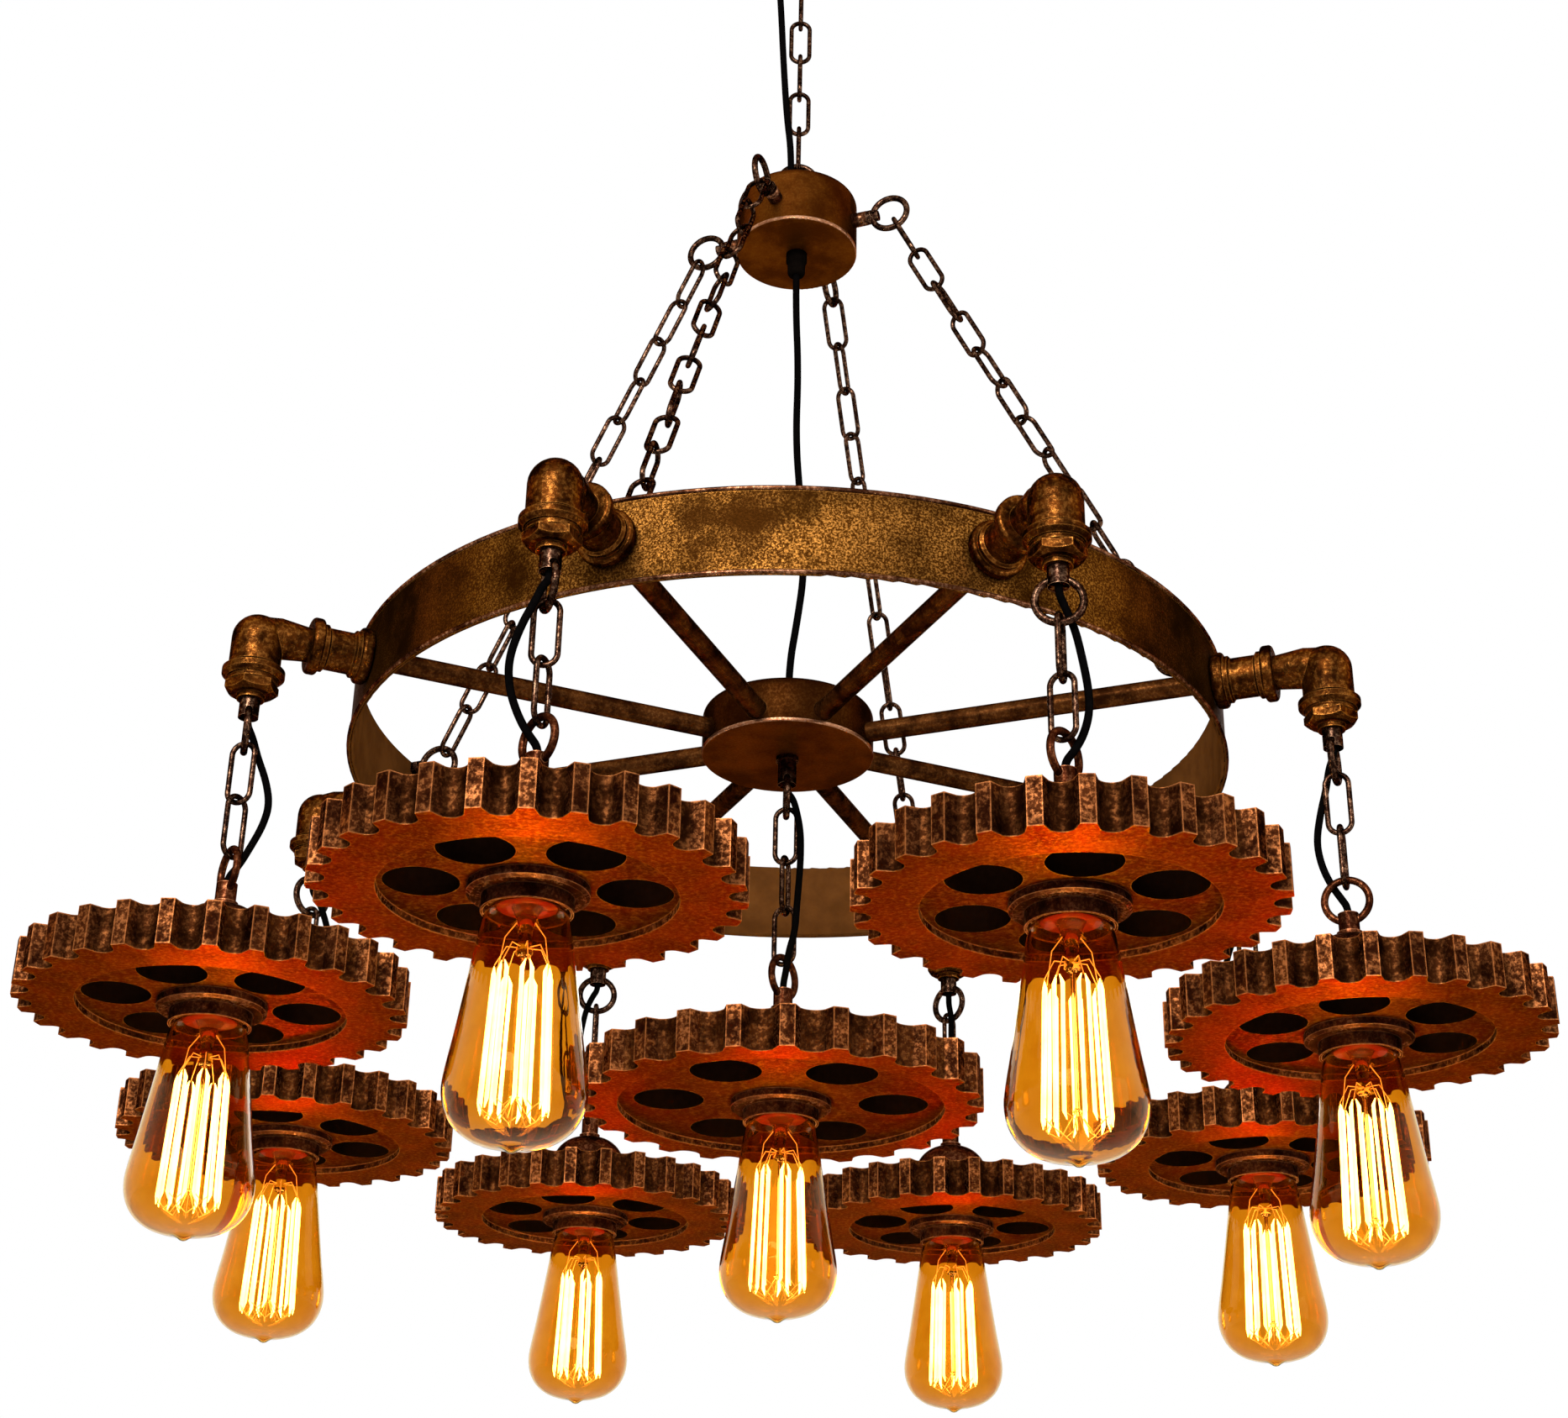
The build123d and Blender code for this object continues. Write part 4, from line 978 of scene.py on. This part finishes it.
def hub_sleeve():
    """Rubber sleeve under the upper hub."""
    profile = [(radius * MM, -depth * MM) for radius, depth in HUB_SLEEVE_OUTLINE_MM]
    sleeve = lathe("hub_sleeve", profile, BLACK, Vector((0, 0, HUB_BOTTOM_MM * MM)), steps=32)
    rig.slot(sleeve, "grip_black")
    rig.ride(sleeve, "frame")


def side_sleeves():
    """Sleeves of the upper hub's four side eyes, in bright copper as a painted highlight."""
    profile = [(radius * MM, height * MM) for radius, height in SIDE_SLEEVE_OUTLINE_MM]
    for number, azimuth in enumerate(SIDE_EYE_AZIMUTHS, 1):
        stem_sleeve = lathe(f"hub_eye_sleeve_{number}", profile, BEAD_HIGHLIGHT,
                            around(azimuth, SIDE_SLEEVE_FROM_MM, SIDE_EYE_MM), steps=28)
        stem_sleeve.rotation_euler = around(azimuth, 1, 0).to_track_quat("Z", "Y").to_euler()
        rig.slot(stem_sleeve, "chain_bronze")
        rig.ride(stem_sleeve, "frame")


def upper_cable():
    """Cable beside the main chain, from the canopy to the upper hub."""
    upper, upper_line, upper_length = cord_mesh(
        "upper_cable_cord", between(UPPER_ROUTE, UPPER_TOP_MM, UPPER_END_MM), CABLE_MM * MM)
    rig.replaces(upper, "upper_cable")
    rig.slot(upper, "cable_black")
    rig.blend(upper, "canopy", "frame", upper_line[0], upper_line[-1])
    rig.cord(upper, upper_line[0], upper_length, CABLE_MM * MM, "object", stiffness="medium", lay="hanging",
            path=upper_line)


def lower_cable():
    """Cable from the upper hub down to the wheel's hub."""
    lower, lower_line, lower_length = cord_mesh(
        "lower_cable_cord", between(LOWER_ROUTE, LOWER_TOP_MM, LOWER_END_MM), CABLE_MM * MM)
    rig.replaces(lower, "lower_cable")
    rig.slot(lower, "cable_black")
    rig.ride(lower, "frame")
    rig.cord(lower, lower_line[0], lower_length, CABLE_MM * MM, "object", stiffness="medium", lay="hanging",
            path=lower_line)


def glow(name, origin):
    """Lamp in a bulb, unseen itself."""
    data = bpy.data.lights.new(f"glow_{name}", "POINT")
    data.energy = GLOW_WATTS
    data.color = GLOW_COLOUR
    data.shadow_soft_size = GLOW_RADIUS
    data.cycles.use_multiple_importance_sampling = False
    lamp = bpy.data.objects.new(f"glow_{name}", data)
    lamp.location = origin + Vector((0, 0, -GLOW_DROP))
    lamp.visible_camera = False
    lamp.visible_transmission = False
    bpy.context.collection.objects.link(lamp)
    return lamp


def hang_pendant(name, origin, route):
    """Bulb, light and drop cord of one pendant."""
    body = f"pendant_{name}"
    glass = bulb_glass(name, origin)
    glass.visible_shadow = False
    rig.replaces(glass, f"bulb_{name}")
    for piece in (glass, bulb_cap(name, origin), bulb_seal(name, origin), bulb_stem(name, origin),
                  filament(name, origin), support_wires(name, origin)):
        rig.slot(piece, "bulb_glass")
        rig.ride(piece, body)
    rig.ride(glow(name, origin), body)
    cord, line, length = cord_mesh(f"drop_cord_{name}", route, DROP_CORD_MM * MM)
    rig.replaces(cord, "drop_cords")
    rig.slot(cord, "cable_black")
    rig.blend(cord, "frame", body, line[0], line[-1])
    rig.cord(cord, line[0], length, DROP_CORD_MM * MM, "object", stiffness="limp", lay="hanging", path=line)


hub_sleeve()
side_sleeves()
upper_cable()
lower_cable()
for name, azimuth, turn, twist, side in PENDANTS:
    hang_pendant(name, around(azimuth, PENDANT_RADIUS_MM, ARM_EYE_MM - ARM_SPAN_MM),
                 drop_route(azimuth, PENDANT_RADIUS_MM, ARM_EYE_MM, ARM_LINKS, side, turn, twist))
hang_pendant("centre", around(0, 0, CENTRE_EYE_MM - CENTRE_SPAN_MM),
             drop_route(-90, 0, CENTRE_EYE_MM, CENTRE_LINKS, 1, 0.0, CENTRE_TWIST))


def camera():
    """Camera at the photograph's place and angle."""
    data = bpy.data.cameras.new("camera")
    data.sensor_width = SENSOR_MM
    data.lens = SENSOR_MM * FOCAL_PIXELS / IMAGE_WIDTH
    data.clip_end = CAMERA_REACH
    obj = bpy.data.objects.new("camera", data)
    forward = CAMERA_FORWARD.normalized()
    right = (CAMERA_RIGHT - forward * CAMERA_RIGHT.dot(forward)).normalized()
    up = right.cross(forward)
    turned = Matrix((right, up, -forward)).transposed().to_4x4()
    obj.matrix_world = Matrix.Translation(CAMERA_PLACE) @ turned
    bpy.context.collection.objects.link(obj)
    bpy.context.scene.camera = obj


def soft_box(name, place, target, size, watts):
    """Large soft lamp turned towards a point."""
    data = bpy.data.lights.new(name, "AREA")
    data.shape = "RECTANGLE"
    data.size, data.size_y = size
    data.energy = watts
    obj = bpy.data.objects.new(name, data)
    obj.location = place
    obj.rotation_euler = (Vector(target) - Vector(place)).to_track_quat("-Z", "Y").to_euler()
    obj.visible_camera = False
    obj.visible_transmission = False
    bpy.context.collection.objects.link(obj)


def white_light(tree_nodes, strength):
    """White light from all around."""
    node = tree_nodes.new("ShaderNodeBackground")
    node.inputs["Color"].default_value = (1, 1, 1, 1)
    node.inputs["Strength"].default_value = strength
    return node.outputs[0]


def surroundings():
    """White backdrop for camera, glossy and transmission rays, and soft even light for the others."""
    world = bpy.data.worlds.new("studio")
    bpy.context.scene.world = world
    world.use_nodes = True
    tree = world.node_tree
    tree.nodes.clear()
    output = tree.nodes.new("ShaderNodeOutputWorld")
    mix = tree.nodes.new("ShaderNodeMixShader")
    tree.links.new(seen_ray(tree.nodes, tree.links), mix.inputs[0])
    tree.links.new(white_light(tree.nodes, WORLD_LIGHT), mix.inputs[1])
    tree.links.new(white_light(tree.nodes, BACKDROP_LIGHT), mix.inputs[2])
    tree.links.new(mix.outputs[0], output.inputs[0])


def lay_floor():
    """Pale floor far below the chandelier."""
    mesh = bpy.data.meshes.new("floor")
    corners = [(x * FLOOR_HALF, y * FLOOR_HALF, FLOOR_LEVEL)
               for x, y in ((-1, -1), (1, -1), (1, 1), (-1, 1))]
    mesh.from_pydata(corners, [], [(0, 1, 2, 3)])
    floor = add_object("floor", mesh, pale_floor())
    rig.stage(floor)


camera()
surroundings()
lay_floor()
for box in SOFT_BOXES:
    soft_box(*box)

bpy.context.scene.view_settings.view_transform = "Standard"

made_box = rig.bounds()
with open("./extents.json", "w") as sizes:
    json.dump({"cad": [list(corner) for corner in cad_box], "visual": [list(corner) for corner in made_box]}, sizes)
